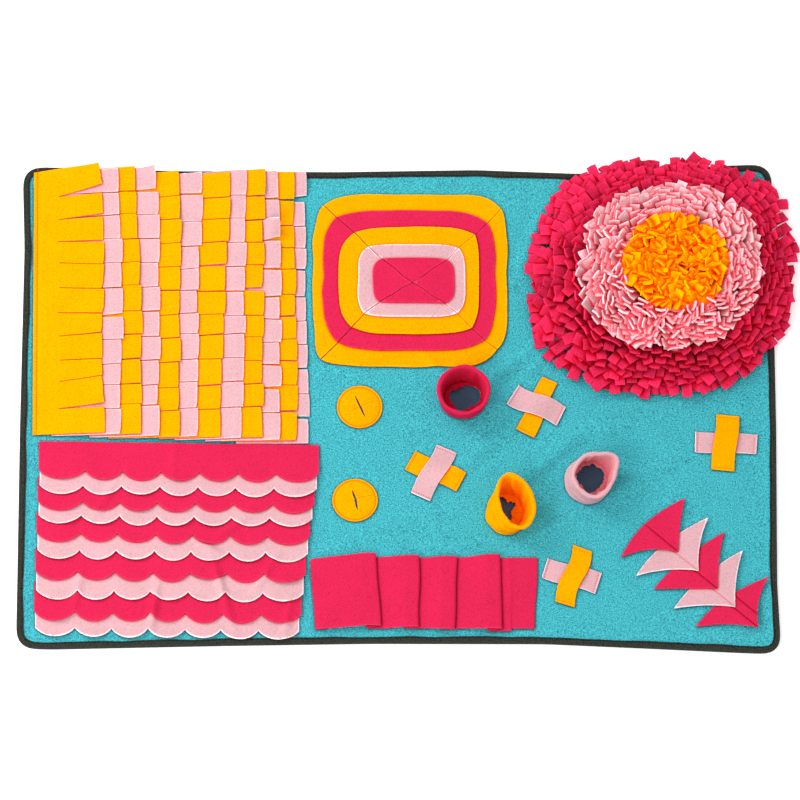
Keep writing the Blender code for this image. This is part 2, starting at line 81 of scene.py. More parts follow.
GAP = 0.3                                     # air left between neighbouring pieces
POCKET_LOW, POCKET_HIGH = node_box("pocket_disc_1")
CLOTH_Z = float(POCKET_LOW[2])                # where pieces lie on the base panel
FLEECE = float(POCKET_HIGH[2]) - CLOTH_Z
LAID_Z = CLOTH_Z + FLEECE / 2                 # middle of a cloth that lies there
LAYER = FLEECE + 0.4                          # rise from one overlapping strip to the next
BACKING = 1.0                                 # thickness of the backing cloth
TAPE = 1.0                                    # thickness of the binding tape
PANEL = 1.8                                   # thickness of the base panel
BINDING_TOP = float(node_box("binding")[1][2])
BINDING_WIDTH = 9.0
BINDING_SEAM = 1.8                            # from the tape's inner edge to its stitches
BINDING_GROOVE = (0.5, 0.5)                   # of its stitches: depth and width
BINDING_RIBS = (0.3, 2.7)                     # half their height, and from one to the next
CORNER_RADIUS = 22.0
FLOOR_RAMP = (9.7, 12.5)                      # inset where the cloth comes down from the tape
PANEL_CLOTH = "base_fleece_cloth"             # what most pieces lie on
ROW_STEP = 0.866                              # height of an even triangle, of its side
CELL_STRAY = 0.12                             # how far points stray from their cells' corners
CELL_CLEARANCE = 0.6                          # how close to a line they may lie, both of a cell
EDGE_INSET = 0.12                             # how far the corners of a cut edge are rounded off
EDGE_BULGE = 0.14                             # how far its middle stands out, both of the thickness
STITCH_SIDES = 6
# Each ring of points round a stitch: share of its length, width, and rise off the cloth.
STITCH_RINGS = ((0.0, 0.5, -1.0), (0.2, 1.0, 0.1), (0.5, 1.1, 0.4), (0.8, 1.0, 0.1), (1.0, 0.5, -1.0))
# Gentle waves of each kind of piece: their height and about how far apart they are.
WAVES = {
    "panel": (0.45, 70.0), "fringe": (0.25, 30.0), "scallop": (0.2, 26.0),
    "flap": (0.3, 50.0), "pleats": (0.3, 28.0), "arrow": (0.4, 32.0),
}

# The border: slow waves along each side between the corners (x, y).
BORDER = {
    "far": ((-460, 341), (-300, 336), (-85, 334.5), (100, 337.5), (240, 332), (440, 344)),
    "far_right": (494, 346),
    "right": ((494.5, 225), (498, -30), (498, -250)),
    "near_right": (503, -349),
    "near": ((450, -347), (330, -341), (190, -334.5), (-40, -334), (-230, -337), (-460, -342)),
    "near_left": (-508, -341),
    "left": ((-507, -270), (-504.5, -30), (-500, 225)),
    "far_left": (-503, 342),
}

# Soft folds of the base panel: middle, direction in degrees, half length, half width, height.
Fold = namedtuple("Fold", "x y angle half_length half_width height")
PANEL_FOLDS = (
    Fold(222, 112, 52, 70, 7, 8.0),
    Fold(178, 82, 40, 60, 7, 6.0),
    Fold(122, 38, 47, 40, 7, 5.0),
    Fold(196, -75, 40, 60, 8, 7.0),
    Fold(110, -60, 38, 55, 8, 5.5),
    Fold(-20, -172, 20, 60, 8, 4.2),
    Fold(-60, 60, 15, 60, 8, 3.6),
    Fold(205, -170, 25, 55, 8, 5.2),
    Fold(330, -95, 30, 60, 9, 4.8),
    Fold(60, 40, 130, 36, 7, 4.0),
    Fold(300, -20, 20, 55, 8, 4.8),
    Fold(180, 250, 70, 60, 8, 4.6),
    Fold(-20, 318, 5, 90, 7, 1.2),
    Fold(455, 20, 80, 60, 9, 3.0),
    Fold(345, -300, 10, 70, 10, 2.2),
    Fold(60, -200, 15, 60, 8, 3.0),
)
PANEL_EDGE = (478, 322)                       # the folds fade out before this x and y
PANEL_FADE = (50, 45)                         # and grow to their height over this distance

# Fringe block: strips sewn along their left edges, the first one on top.
FRINGE_TABS = 11
FRINGE_TAB_LENGTH = 58.5
FRINGE_PITCH = 33.45                          # from one cut to the next
FRINGE_SLIT = 0.9                             # width of a cut
FRINGE_TOP_Y = 333.0                          # the cuts of the first strip are counted from here
FRINGE_DRIFT = 1.25                           # how much nearer the cuts of each next strip are
FRINGE_LIFT_Y = 305.0                         # beyond this the strips rise onto the tape
FRINGE_LIFT_SLOPE = 0.16
FRINGE_STITCH_INSET = 5.0
FRINGE_GROOVE = (1.1, 1.6)                    # of its stitches: depth and width
FRINGE_OPENING = 0.5                          # how much wider most slits are at the tab ends
FRINGE_SLANT = 2.5                            # how far a cut may climb from root to tab end
FRINGE_LEAN = 0.045                           # how slanted tab ends may be
FRINGE_UNEVEN = 2.0                           # how far tab ends and roots may be out of line
FRINGE_TIP = 0.62                             # share of a tab's length from where it curls
FRINGE_BULGE = 0.6                            # how far tab ends bulge between their corners
FRINGE_CURLS = (0.1, 1.2)                     # how far the end of a curled tab rises
FRINGE_CURLED = 0.7                           # share of the tabs that are curled
FRINGE_ROLL = 1.2                             # how much a tab may roll to one side
FRINGE_SEAMS = ((1, -487.5), (5, -387.0), (7, -320.0), (12, -218.0))     # strip, x
# Each strip: x of its tab ends at the far side, middle and near side, then how far each of
# its ten cuts strays from its even place at the tab ends, then y of its far and near edges.
Strip = namedtuple("Strip", "far middle near cuts top bottom")
FRINGE = (
    Strip(-397.8, -395.8, -393.8, (8.2, 3.9, 0.1, -0.5, -1.6, -3, 3, -0.1, 8.9, 1.0), 342, -40),
    Strip(-376.0, -369.3, -372.1, (4, 5, 4, 4, 1, -4, -5, -6, -3, -3), 335, -41.5),
    Strip(-353.1, -343.6, -343.6, (7, 8, 6, 6, 6, 3, 4, 2, 0, 5), 338, -41),
    Strip(-325.2, -319.9, -321.8, (10, 8, 7, 7, 6, 5, 2, 2, 0, 4), 338, -43.5),
    Strip(-293.9, -293.4, -293.9, (3, 2, 2, 2, 2, 1, 1, 0, -3, -2), 332, -45),
    Strip(-264.6, -269.4, -271.0, (6, 0, -1, 1, 3, 4, 8, 5, 6, 3), 330, -44.5),
    Strip(-226.9, -233.9, -239.5, (2, 5, 6, 6, 2, 3, 8, 6, 3, 2), 329, -46),
    Strip(-206.0, -207.4, -210.2, (7, 7, 6, 5, 3, 2, 10, 9, 9, 6), 333, -47.5),
    Strip(-180.9, -183.7, -183.1, (8, 7, 8, 10, 8, 4, 7, 7, 8, 9), 334, -46),
    Strip(-163.3, -159.9, -160.5, (6, 9, 13, 6, 0, 1, 2, 3, 4, 2), 333, -49),
    Strip(-143.2, -139.8, -137.6, (6, 3, 5, 8, 5, 8, 9, 11, 10, 6), 332, -49),
    Strip(-126.4, -127.0, -121.7, (10, 4, 6, 9, 4, 3, 3, 2, 0, -1), 333, -52.5),
)
# How far each cut of the first strip climbs from root to tab end, its edges included.
FRINGE_FIRST_SLANTS = (18.0, 9.7, 4.9, -0.9, -4.5, -3.6, -3.0, 3.0, 0.9, 6.9, 4.0, 0.0)
# Cuts that gape: (strip, cut) and the opening at the tab ends.
FRINGE_GAPES = {
    (1, 1): 13.0, (1, 2): 5.0, (1, 10): 6.5, (2, 6): 6.0, (2, 5): 2.5, (3, 8): 3.0, (3, 7): 2.0,
    (4, 1): 5.0, (4, 3): 2.5, (4, 6): 3.0, (4, 7): 1.8, (4, 8): 2.2, (6, 1): 4.5, (6, 3): 2.4,
    (7, 4): 4.0, (7, 1): 2.0, (8, 7): 2.0, (9, 5): 6.5, (9, 1): 2.0, (10, 1): 4.0, (10, 4): 4.5,
    (10, 5): 3.5, (10, 9): 5.0, (11, 2): 1.8, (11, 10): 4.0, (12, 1): 9.5, (12, 4): 3.0,
    (12, 5): 2.0, (12, 8): 2.5, (12, 10): 5.0, (11, 1): 3.0, (5, 8): 1.6, (8, 4): 2.2, (3, 1): 1.6,
}
# Tabs that roll up along one edge: (strip, tab) and degrees.
FRINGE_TWISTED = {(10, 3): 42.0, (4, 1): 10.0}

# Scallop block: strips sewn along their far edges, the first one on top.
SCALLOP_COUNT = 7                             # on each strip
SCALLOP_DEPTH = 12.5
SCALLOP_FIRST_Y = -49.0
SCALLOP_STEPS = 12                            # points round each scallop
SCALLOP_PITCH = 25.0                          # from one strip to the next
SCALLOP_SLANT = -0.016                        # of all strips, as a slope in y
SCALLOP_HEIGHTS = (55, 51, 48.5, 43, 43, 42, 47, 49.5, 53.5, 51)  # from seam to scallop ends
# First and last strip: left edge, first valley, space between valleys, right edge.
SCALLOP_ENDS = ((-477.8, -418.6, 50.7, -108.2), (-483.6, -430.8, 48.6, -134.0))
SCALLOP_STAGGER = 1.1                         # how far the pink strips start to the right
SCALLOP_SHALLOW = {(7, 5): 0.72}              # (strip, scallop) and its share of the depth
SCALLOP_EDGE_Y = -317.0                       # nearer than this the strips rise onto the tape
SCALLOP_EDGE_SLOPE = 0.3
SCALLOP_SHIFT = 1.2                           # how far valleys may be out of place
SCALLOP_SAG = 0.8                             # how far scallops may hang out or fall short
SCALLOP_CURL_START = 9.0                      # above the valleys, where the curl begins
SCALLOP_CURL_WIDTH = 20.0                     # from there to where it is full
SCALLOP_CURL_MAX = 3.0                        # how far the near edge rises at most
SCALLOP_FOLDS = (
    Fold(-236, -262, -74, 42, 5, 6.0),
    Fold(-427, -262, 80, 26, 5, 4.0),
    Fold(-326, -286, 82, 34, 5, 6.2),
    Fold(-150, -300, 80, 26, 5, 3.4),
    Fold(-222, -172, 35, 26, 5, 3.4),
    Fold(-250, -205, -30, 30, 5, 3.6),
    Fold(-390, -130, 60, 30, 5, 2.4),
    Fold(-300, -80, 86, 30, 5, 1.6),
    Fold(-180, -240, 60, 30, 5, 3.0),
)

# Stacked flaps, all slit to their corners. Each layer: where its outline meets the four
# slits, how far its four sides bulge out, and how square the bulges are.
Flap = namedtuple("Flap", "colour far_left near_left near_right far_right left near right far square")
FLAPS = (
    Flap("yellow", (-102.0, 286.6), (-105.4, 66.9), (128.2, 81.2), (133.5, 281.9),
         -114.5, 56.5, 141.2, 302.2, 7.0),
    Flap("hot_pink", (-84.5, 268.9), (-82.6, 90.6), (111.6, 94.0), (115.0, 260.2),
         -101.7, 79.0, 125.5, 278.1, 4.6),
    Flap("yellow", (-60.4, 246.0), (-64.2, 111.4), (94.1, 110.0), (98.7, 243.0),
         -81.3, 101.6, 103.8, 253.9, 4.0),
    Flap("light_pink", (-42.0, 225.3), (-47.7, 130.0), (75.0, 130.2), (76.4, 223.6),
         -55.5, 125.0, 85.5, 228.4, 4.5),
    Flap("hot_pink", (-24.6, 206.8), (-27.6, 145.8), (59.6, 143.4), (62.1, 205.2),
         -35.2, 144.0, 71.0, 208.0, 5.0),
)
FLAP_MIDDLE = (15.5, 171.8)
FLAP_SLIT = 0.26                              # half the width of the slits
FLAP_SWAYS = (1.3, -1.2, 1.4, -1.5)           # how far each slit sways near the middle
FLAP_STEPS = (0.9, 0.0, 0.3, 0.0)             # how far each flap, from the left one, has slid out
FLAP_RIPPLES = (1.9, 0.6, 1.0, 0.6)           # how uneven the side of each flap is
FLAP_LIFTS = (2.4, 1.4, 2.0, 1.0)             # how far each flap's point lifts at the middle
FLAP_POINT = 40.0                             # how far from the middle the points lift
FLAP_RIM_START = 60.0                         # from the middle, where the outer parts begin to rise
FLAP_RIM_WIDTH = 120.0

# Round pockets: the ends of the gaping slit and of the closed one across it, by turns.
Pocket = namedtuple("Pocket", "name x y radius gape crossing tips")
POCKETS = (
    Pocket("pocket_disc_1", -54.2, -0.6, 30.0, 1.5, (0.7, 0.0),
           ((-6.5, 16.0), (-15.8, -8.0), (7.8, -15.9), (21.4, 10.0))),
    Pocket("pocket_disc_2", -60.2, -132.5, 30.0, 1.8, (0.4, 1.4),
           ((-4.2, 14.3), (-13.0, -2.5), (3.6, -15.6), (23.7, 7.3))),
)
POCKET_SEAM = 2.6                             # from the edge to the stitches
POCKET_GROOVE = (0.9, 1.3)                    # of its stitches: depth and width
POCKET_DOME = 1.5                             # how far its middle bulges up
POCKET_SLIT = 0.16                            # half the width of the closed slit

# Crossed strips: the corners round each strip from one end to the other, how far it bends
# sideways, and how high an under strip arches over the panel.
Cross = namedtuple("Cross", "number part colour corners bow lift")
CROSSES = (
    Cross(1, "under", "yellow", ((74, -120), (87, -94), (20, -63), (6, -89)), 1.0, 0.4),
    Cross(1, "over", "light_pink", ((14, -122), (39, -134), (74, -66), (48, -54)), -1.5, 0.0),
    Cross(2, "under", "yellow", ((153, -32), (177, -44), (208, 33), (188, 42)), 1.0, 0.6),
    Cross(2, "over", "light_pink", ((207, -27), (219, -1), (157, 30), (141, 4)), 2.0, 0.0),
    Cross(3, "under", "light_pink", ((471, -67), (473, -40), (391, -36), (390, -65)), 0.5, 0.6),
    Cross(3, "over", "yellow", ((412, -89), (442, -92), (449, -15), (419, -11)), -1.0, 0.0),
    Cross(4, "under", "light_pink", ((257, -265), (266, -236), (195, -215), (187, -242)), 1.2, 1.0),
    Cross(4, "over", "yellow", ((205, -276), (230, -284), (253, -206), (228, -196)), -3.0, 0.0),
)
CROSS_LENGTH = 78.0
CROSS_WIDTH = 28.0
CROSS_STITCH_INSET = 3.2                      # from each end to its stitches
CROSS_GROOVE = (0.5, 1.1)                     # of its stitches: depth and width
CROSS_CURL = (0.8, 2.0)                       # of its cut ends: height and width
# Rise of an upper strip, by the distance from its middle.
CROSS_ARCH = ((0, 4.8), (7, 4.5), (14, 3.5), (22, 1.5), (29, 0.15), (33, 0.0), (39, 0.0))

# Standing tubes of fleece doubled over at the rim: middle x, y and half widths of the foot
# and of the rim, height, how far the rim is turned, bulges at the rim and creases inside by
# their directions in degrees, seed, and outline of the hole inside, from the foot's middle.
Tube = namedtuple("Tube", "name colour foot rim height turn corners creases seed hole")
TUBES = (
    Tube("tube_1", "hot_pink", (83, 11.5, 30, 28), (83.5, 11.5, 36, 36), 36, 0, (), (62,), 3,
         ((-18.8, 5.0), (-14.6, 10.7), (-8.7, 10.6), (-1, 16.3), (6.1, 18.7), (15.2, 16.2),
          (22.5, 9.2), (22.9, -3.0), (10.1, -12.2), (-1.2, -17.5), (-8.7, -18.5), (-11.7, -9.6),
          (-18.2, 1.9))),
    Tube("tube_2", "yellow", (140, -150, 27, 30), (153, -147, 25.5, 41), 37, 17, ((95, 2.5),), (70, 15), 5,
         ((-9.4, 21.1), (-6.0, 22.3), (2.1, 13.7), (5.5, 15.1), (12.3, 13.3), (6.9, 2.1),
          (6.2, -2.3), (7.2, -9.5), (1.0, -12.0), (-4.3, -5.7), (-6.5, 3.0))),
    Tube("tube_3", "light_pink", (248, -105, 30, 32), (258, -109, 30, 32.5), 36, 0,
         ((42, 9.5), (330, -3.2), (185, 1.8), (268, 1.8)), (100, -65), 9,
         ((-14.9, 9.5), (-8.7, 16.5), (-5.4, 21.2), (-1.0, 20.5), (5.6, 24.0), (13.7, 18.3),
          (20.9, 13.9), (22.0, 5.3), (15.8, -9.0), (8.8, -15.9), (0.5, -19.0), (-4.2, -14.9),
          (-7.3, -6.8))),
)
TUBE_WALL = 5.6                               # from the outside to the inside of the doubled cloth
TUBE_POINTS = 110                             # round each tube
TUBE_FLARE = (1.5, 0.12)                      # how far the foot spreads, up to a share of the height
TUBE_GATHERS = 17                             # folds round the foot where the cloth is drawn in
TUBE_CREASE = 3.0                             # how far the creases inside stand out
TUBE_GROOVES = ((0.42, 1.3), (0.7, 1.0))      # share of the height, and depth
TUBE_GROOVE_WIDTH = 0.07                      # share of the height
TUBE_CREASE_WIDTH = 9.0                       # in degrees
TUBE_CORNER_WIDTH = 0.4                       # in radians
TUBE_SPREAD = (0.25, 0.5, 0.75, 1.0)          # where the cloth lies between foot and hole

# Pleated strip: right edge of each panel at the far and near side, and y of its ends.
Panel = namedtuple("Panel", "right_far right_near far_left far_right near_left near_right")
PLEAT_LEFT = (-117.0, -109.0)                 # left edge at the far and near side
PLEAT_WIDTH = 101.0                           # of the strip
PLEATS = (
    Panel(-33.2, -26.0, -216.5, -209.5, -315.5, -311.0),
    Panel(24.6, 23.9, -213.5, -213.0, -313.5, -313.0),
    Panel(74.5, 71.2, -214.5, -213.5, -313.5, -316.0),
    Panel(131.3, 133.9, -213.5, -211.0, -314.0, -315.5),
    Panel(181.2, 177.2, -214.5, -214.0, -317.5, -314.0),
)
# How the strip starts at its left edge, right of PLEAT_LEFT at the far and near side: height
# in layers of cloth, and how much it is tucked in at the ends.
PLEAT_START = ((12, 12, 0.0, 1), (-1.0, -2.5, 0.0, 1), (-1.5, -3.0, 0.45, 1), (1.0, 0.0, 1.0, 0))
# How it folds under at the right edge of a panel: how far left of that edge, height in
# layers, and whether it is part of the next panel already.
PLEAT_FOLD = (
    (18, 2.05, False), (4, 2.0, False), (1.2, 1.9, False), (0.4, 1.5, False), (1.2, 1.1, False),
    (3, 1.0, False), (17, 1.0, True), (18, 0.5, True), (17, 0.0, True), (-2, 0.0, True), (-12, 0.5, True),
)
PLEAT_END = ((30, 0.15), (0, 0.0))            # left of the last edge, and height in layers
PLEAT_RIM = (0.7, 0.05)                       # curl of its cut edges: strength, share of width

# Arrow pieces, the first one on top; the bows say how far two edges curve in.
Arrow = namedtuple("Arrow", "colour far_tip near_tip nose back far_bow near_bow creases")
ARROWS = (
    Arrow("hot_pink", (376.3, -130.6), (291.7, -214.1), (366.8, -207.2), (323.0, -166.6), 1.8, 7.5, (0,)),
    Arrow("light_pink", (407.1, -158.3), (311.6, -240.2), (394.0, -234.4), (349.3, -194.2), 4.7, 5.5, (0,)),
    Arrow("hot_pink", (428.4, -178.6), (335.3, -258.5), (418.9, -259.8), (374.2, -219.6), 2.8, 0.5, (0,)),
    Arrow("light_pink", (452.5, -204.7), (361.4, -286.4), (442.1, -285.1), (397.4, -244.9), 3.5, 3.5, (0,)),
    Arrow("hot_pink", (486.4, -242.2), (390.0, -312.0), (472.2, -313.8), (427.5, -273.6), 6.5, 4.5,
          (0, 13.5)),
)
ARROW_RISE = 0.072                            # slope along the row
ARROW_SPINE = (0.712, -0.702)                 # direction of the row
ARROW_BACK_BOW = 2.5                          # how far the two back edges curve out
ARROW_EDGE_X = 478.0                          # right of this the pieces rise onto the tape
ARROW_EDGE_SLOPE = 0.3
ARROW_CREASE = (2.0, 1.1)                     # depth and width
ARROW_SHOULDERS = (1.1, 8.0)                  # of the rises beside it: height and width
ARROW_TIPS = (0.8, 35.0, 25.0)                # rise of the tips: height, start and width

# Flower: rings of upright cut tabs round one middle, and the reach of its outline at some
# directions in degrees. The inner rings sit further to the right.
FLOWER = (345.0, 181.0)
FLOWER_REACH = 177.0
FLOWER_OUTLINE = ((0, 174), (40, 194), (90, 164), (134, 182), (180, 172), (219, 185), (270, 163), (313, 178))
FLOWER_SHIFT_RADII = (0, 68, 126, 177)
FLOWER_SHIFTS = (20, 20, 12, 0)
FLOWER_FOOT = 0.6                             # from the base panel up to the feet of the tabs
TAB_CELLS = (2, 8)                            # across and along a tab
TAB_THICKNESS = 2.5
TAB_HIGHLIGHT = 0.74                               # how much of the painted highlight along their edges tabs show
TAB_STRAY = (1.5, 6.0)                        # how far tabs of the outer row reach out: mean, most
TAB_LENGTHS = (0.95, 1.05)                    # least and most, as shares of the ring's value
TAB_WIDTHS = (0.9, 1.06)
TAB_SHIFT = 1.6                               # how far a tab end may be moved round the ring
TAB_HEADING = 0.14                            # spread of headings in radians
TAB_TWIST = 9.0                               # spread of twists in degrees
TAB_STAND = 0.15                              # spread of stands
TAB_CUP = 2.0                                 # how far edges may curl to a side
TAB_TONE = 0.2                                # how much lighter or darker a tab may be
PATCH_REACH = 1.5                             # how far rows may go on, in patch sizes
# Each ring: length and width of its tabs, how much shorter than a tab its chord is, radius
# of its outer and inner tab ends, space between rows and along a row, height of the tab ends
# at some radii, how uneven heights and radii are, and how the tabs stand in each direction:
# degrees round the flower, disorder, and -1 for ends that fall over up to 1 for ends that
# stand upright. At full disorder, stands and headings differ by their spreads. A ring with a
# patch is made of patches of that size, with tighter rows where they lie in disorder, and
# one without has rows that run round it.
# Each ring also has a painted brightening of all its tabs above their cloth's face colour.
Ring = namedtuple("Ring", "colour length width slack outer inner spacing pitch radii heights height_spread "
                          "radius_spread stands stand_spread heading_spread bright seed patch tight",
                  defaults=(0.0, 0.0))
FLOWER_RINGS = {
    "flower_outer": Ring(
        "hot_pink", length=58.0, width=14.4, slack=0.045, outer=177.0, inner=124.0, spacing=9.8, pitch=14.2,
        radii=(126, 146, 177), heights=(50, 38, 11), height_spread=3.6, radius_spread=4.2,
        stands=((0, 0.25, -0.7), (45, 0.25, -0.8), (90, 0.15, -0.9), (140, 0.3, -1.0), (170, 0.8, -0.4),
                (215, 1.0, -0.2), (245, 0.3, -0.9), (300, 0.2, -0.9), (335, 0.3, -0.8)),
        stand_spread=0.6, heading_spread=1.1, bright=0.25, seed=21),
    "flower_middle": Ring(
        "light_pink", length=72.0, width=14.2, slack=0.10, outer=121.0, inner=68.0, spacing=8.6, pitch=12.4,
        radii=(70, 100, 124), heights=(67, 63, 54), height_spread=1.2, radius_spread=1.0,
        stands=((0, 0.6, -0.75), (45, 0.4, -0.85), (90, 0.2, -0.95), (135, 0.7, -0.75), (180, 0.9, -0.6),
                (225, 1.0, -0.55), (270, 1.0, -0.6), (315, 0.9, -0.7)),
        stand_spread=0.5, heading_spread=1.4, bright=0.18, seed=22, patch=14.0, tight=5.2),
    "flower_core": Ring(
        "yellow", length=82.0, width=14.0, slack=0.15, outer=63.0, inner=1.0, spacing=7.4, pitch=8.8,
        radii=(0, 40, 66), heights=(73, 72, 69), height_spread=1.8, radius_spread=2.4,
        stands=((0, 1.0, -0.9), (180, 1.0, -0.9)),
        stand_spread=0.4, heading_spread=3.0, bright=0.12, seed=23),
}
RIPPLE_SIZE = 26.0                            # how far apart tabs in rows round a ring differ

# Colour of each cloth: its face, the painted highlight along its edges, its cut side with painted light
# and shade (lighter than the face on the pinks, darker on the rest), and the painted shade in its folds and
# hollows.
Cloth = namedtuple("Cloth", "face edge side deep")
COLOURS = {
    "turquoise": Cloth((0.052, 0.392, 0.448), (0.06, 0.42, 0.47), (0.03, 0.27, 0.33), (0.006, 0.14, 0.19)),
    "slate": Cloth((0.062, 0.125, 0.19), (0.06, 0.12, 0.18), (0.05, 0.10, 0.15), (0.05, 0.10, 0.15)),
    "charcoal": Cloth((0.033, 0.036, 0.029), (0.04, 0.04, 0.035), (0.03, 0.03, 0.025), (0.02, 0.02, 0.018)),
    "yellow": Cloth((0.93, 0.345, 0.0002), (1.0, 0.48, 0.003), (1.0, 0.20, 0.002), (1.0, 0.13, 0.0)),
    "light_pink": Cloth((0.615, 0.348, 0.378), (0.95, 0.80, 0.82), (1.0, 0.90, 0.92), (0.80, 0.12, 0.16)),
    "hot_pink": Cloth((0.605, 0.0155, 0.07), (0.74, 0.034, 0.105), (0.62, 0.02, 0.07), (0.42, 0.0008, 0.01)),
    "red_thread": Cloth(*[(0.34, 0.02, 0.04)] * 4),
    "orange_thread": Cloth(*[(0.66, 0.085, 0.002)] * 4),
    "dark_thread": Cloth(*[(0.012, 0.014, 0.012)] * 4),
}

# The grain of a cloth: size of its fibres, tufts, blotches and ribs, and depth of its relief.
FIBRE_SIZE = 0.5
TUFT_SIZE = 1.8
BLOTCH_SIZE = 38.0
RIB_PITCH = 1.6
RELIEF = 0.9
WAVE_PERIOD = math.pi / 10                    # of the wave texture at scale 1

# Camera, in metres except for its target, and lights.
CAMERA_DISTANCE = 30.0
CAMERA_ELEVATION = 69.0
CAMERA_TARGET = (-0.7, 11.4)
PICTURE_WIDTH = 1.061
SKY_STRENGTH = 0.96
FLOOR_SIZE = 12.0
FLOOR_Z = -0.0003                             # a little under the mat
PAPER = (0.98, 0.98, 0.98, 1.0)
WHITE = (1.0, 1.0, 1.0, 1.0)
PAPER_GLOW = 0.25                             # keeps the floor near white all over
Light = namedtuple("Light", "name place size power")
LIGHTS = (
    Light("far_light", (-2.0, 1.4, 1.9), 1.4, 50.0),
    Light("near_light", (-1.7, -1.9, 2.1), 1.4, 44.0),
)


# ---------------------------------------------------------------- materials

def set_inputs(node, values):
    """Set the inputs of a shader node by their titles."""
    for title, value in values.items():
        node.inputs[title].default_value = value


def cloth_material(name, grain=0.1, grain_size=1.7, ribs=0.0, tufts=0.0, depth=0.5, gloss=0.06,
                   reach=3.4, crevice_shade=2.0):
    """A matt cloth: blotches, pebbled grain, tufts, fibres, knitted ribs, a painted highlight along its
    edges, painted light and shade on its cut sides, and painted shade in its crevices and hollows.
    """
    cloth = COLOURS[name]
    material = bpy.data.materials.new(name)
    material.use_nodes = True
    tree = material.node_tree
    shader = tree.nodes["Principled BSDF"]
    set_inputs(shader, {"Roughness": 1.0, "Specular IOR Level": gloss, "Sheen Weight": 0.02,
                        "Sheen Roughness": 0.4, "Sheen Tint": (*cloth.edge, 1.0)})
    place = tree.nodes.new("ShaderNodeTexCoord").outputs["Object"]

    def texture(kind, **values):
        made = tree.nodes.new(kind)
        set_inputs(made, values)
        tree.links.new(place, made.inputs["Vector"])
        return made

    def noise(size, detail, roughness=0.6):
        made = texture("ShaderNodeTexNoise", Scale=1.0 / (size * MM), Detail=detail, Roughness=roughness)
        return made.outputs["Fac"]

    def maths(operation, a, b, clamp=False):
        made = tree.nodes.new("ShaderNodeMath")
        made.operation = operation
        made.use_clamp = clamp
        for socket, value in zip(made.inputs, (a, b)):
            if isinstance(value, float):
                socket.default_value = value
            else:
                tree.links.new(value, socket)
        return made.outputs[0]

    def uneven(texture, amount):
        return maths("MULTIPLY", maths("SUBTRACT", texture, 0.5), amount)

    def attribute(title):
        made = tree.nodes.new("ShaderNodeAttribute")
        made.attribute_name = title
        return made.outputs["Fac"]

    def blend(share, first, second):
        made = tree.nodes.new("ShaderNodeMix")
        made.data_type = "RGBA"
        tree.links.new(share, made.inputs[0])
        for socket, value in zip([put for put in made.inputs if put.type == "RGBA"], (first, second)):
            if isinstance(value, tuple):
                socket.default_value = (*value, 1.0)
            else:
                tree.links.new(value, socket)
        return [put for put in made.outputs if put.type == "RGBA"][0]

    cells = texture("ShaderNodeTexVoronoi", Scale=1.0 / (grain_size * MM))
    pebbles = maths("SUBTRACT", 1.0, cells.outputs["Distance"])
    fibres = noise(FIBRE_SIZE, 2.0)
    blotches = noise(BLOTCH_SIZE, 2.0, 0.5)
    height = maths("ADD", maths("MULTIPLY", pebbles, 0.7), maths("MULTIPLY", fibres, 0.3))
    tone = maths("ADD", uneven(pebbles, 2.0 * grain), uneven(blotches, 0.14))
    tone = maths("ADD", tone, uneven(fibres, 1.5 * grain))
    if tufts:
        pile = noise(TUFT_SIZE, 0.0)
        height = maths("ADD", height, pile)
        tone = maths("ADD", tone, uneven(pile, tufts))
    if ribs:
        wave = texture("ShaderNodeTexWave", Scale=WAVE_PERIOD / (RIB_PITCH * MM), Distortion=1.5,
                       Detail=1.0)
        height = maths("ADD", height, maths("MULTIPLY", wave.outputs["Fac"], ribs))
        tone = maths("ADD", tone, uneven(wave.outputs["Fac"], 0.2 * ribs))
    # Per-piece values add random tone and, on the flower tabs, a painted brightening.
    tone = maths("ADD", maths("ADD", tone, attribute("tone")), 1.0)

    # Painted light by the mesh's border values: a painted highlight along cut edges, and the painted light
    # and shade of the cut side colour where border is above 1.
    border = attribute("border")
    painted_highlight_mask = maths("POWER", maths("MINIMUM", border, 1.0), 4.0)
    painted_side_mask = maths("SUBTRACT", border, 1.0, clamp=True)
    # Painted shade: where ambient occlusion finds a crevice within reach, and on the tubes' inner walls, the
    # colour turns to the cloth's painted shade colour.
    hollow = tree.nodes.new("ShaderNodeAmbientOcclusion")
    hollow.samples = 8
    set_inputs(hollow, {"Distance": reach * MM})
    hidden = maths("MULTIPLY", maths("SUBTRACT", 1.0, hollow.outputs["AO"]), crevice_shade, clamp=True)
    hidden = maths("MAXIMUM", hidden, attribute("hollow"))
    colour = blend(painted_side_mask, blend(painted_highlight_mask, cloth.face, cloth.edge), cloth.side)
    colour = blend(hidden, colour, cloth.deep)
    shade = tree.nodes.new("ShaderNodeVectorMath")
    shade.operation = "SCALE"
    tree.links.new(colour, shade.inputs[0])
    tree.links.new(tone, shade.inputs["Scale"])
    tree.links.new(shade.outputs["Vector"], shader.inputs["Base Color"])

    bump = tree.nodes.new("ShaderNodeBump")
    set_inputs(bump, {"Strength": depth, "Distance": RELIEF * MM})
    tree.links.new(height, bump.inputs["Height"])
    tree.links.new(bump.outputs["Normal"], shader.inputs["Normal"])
    return material


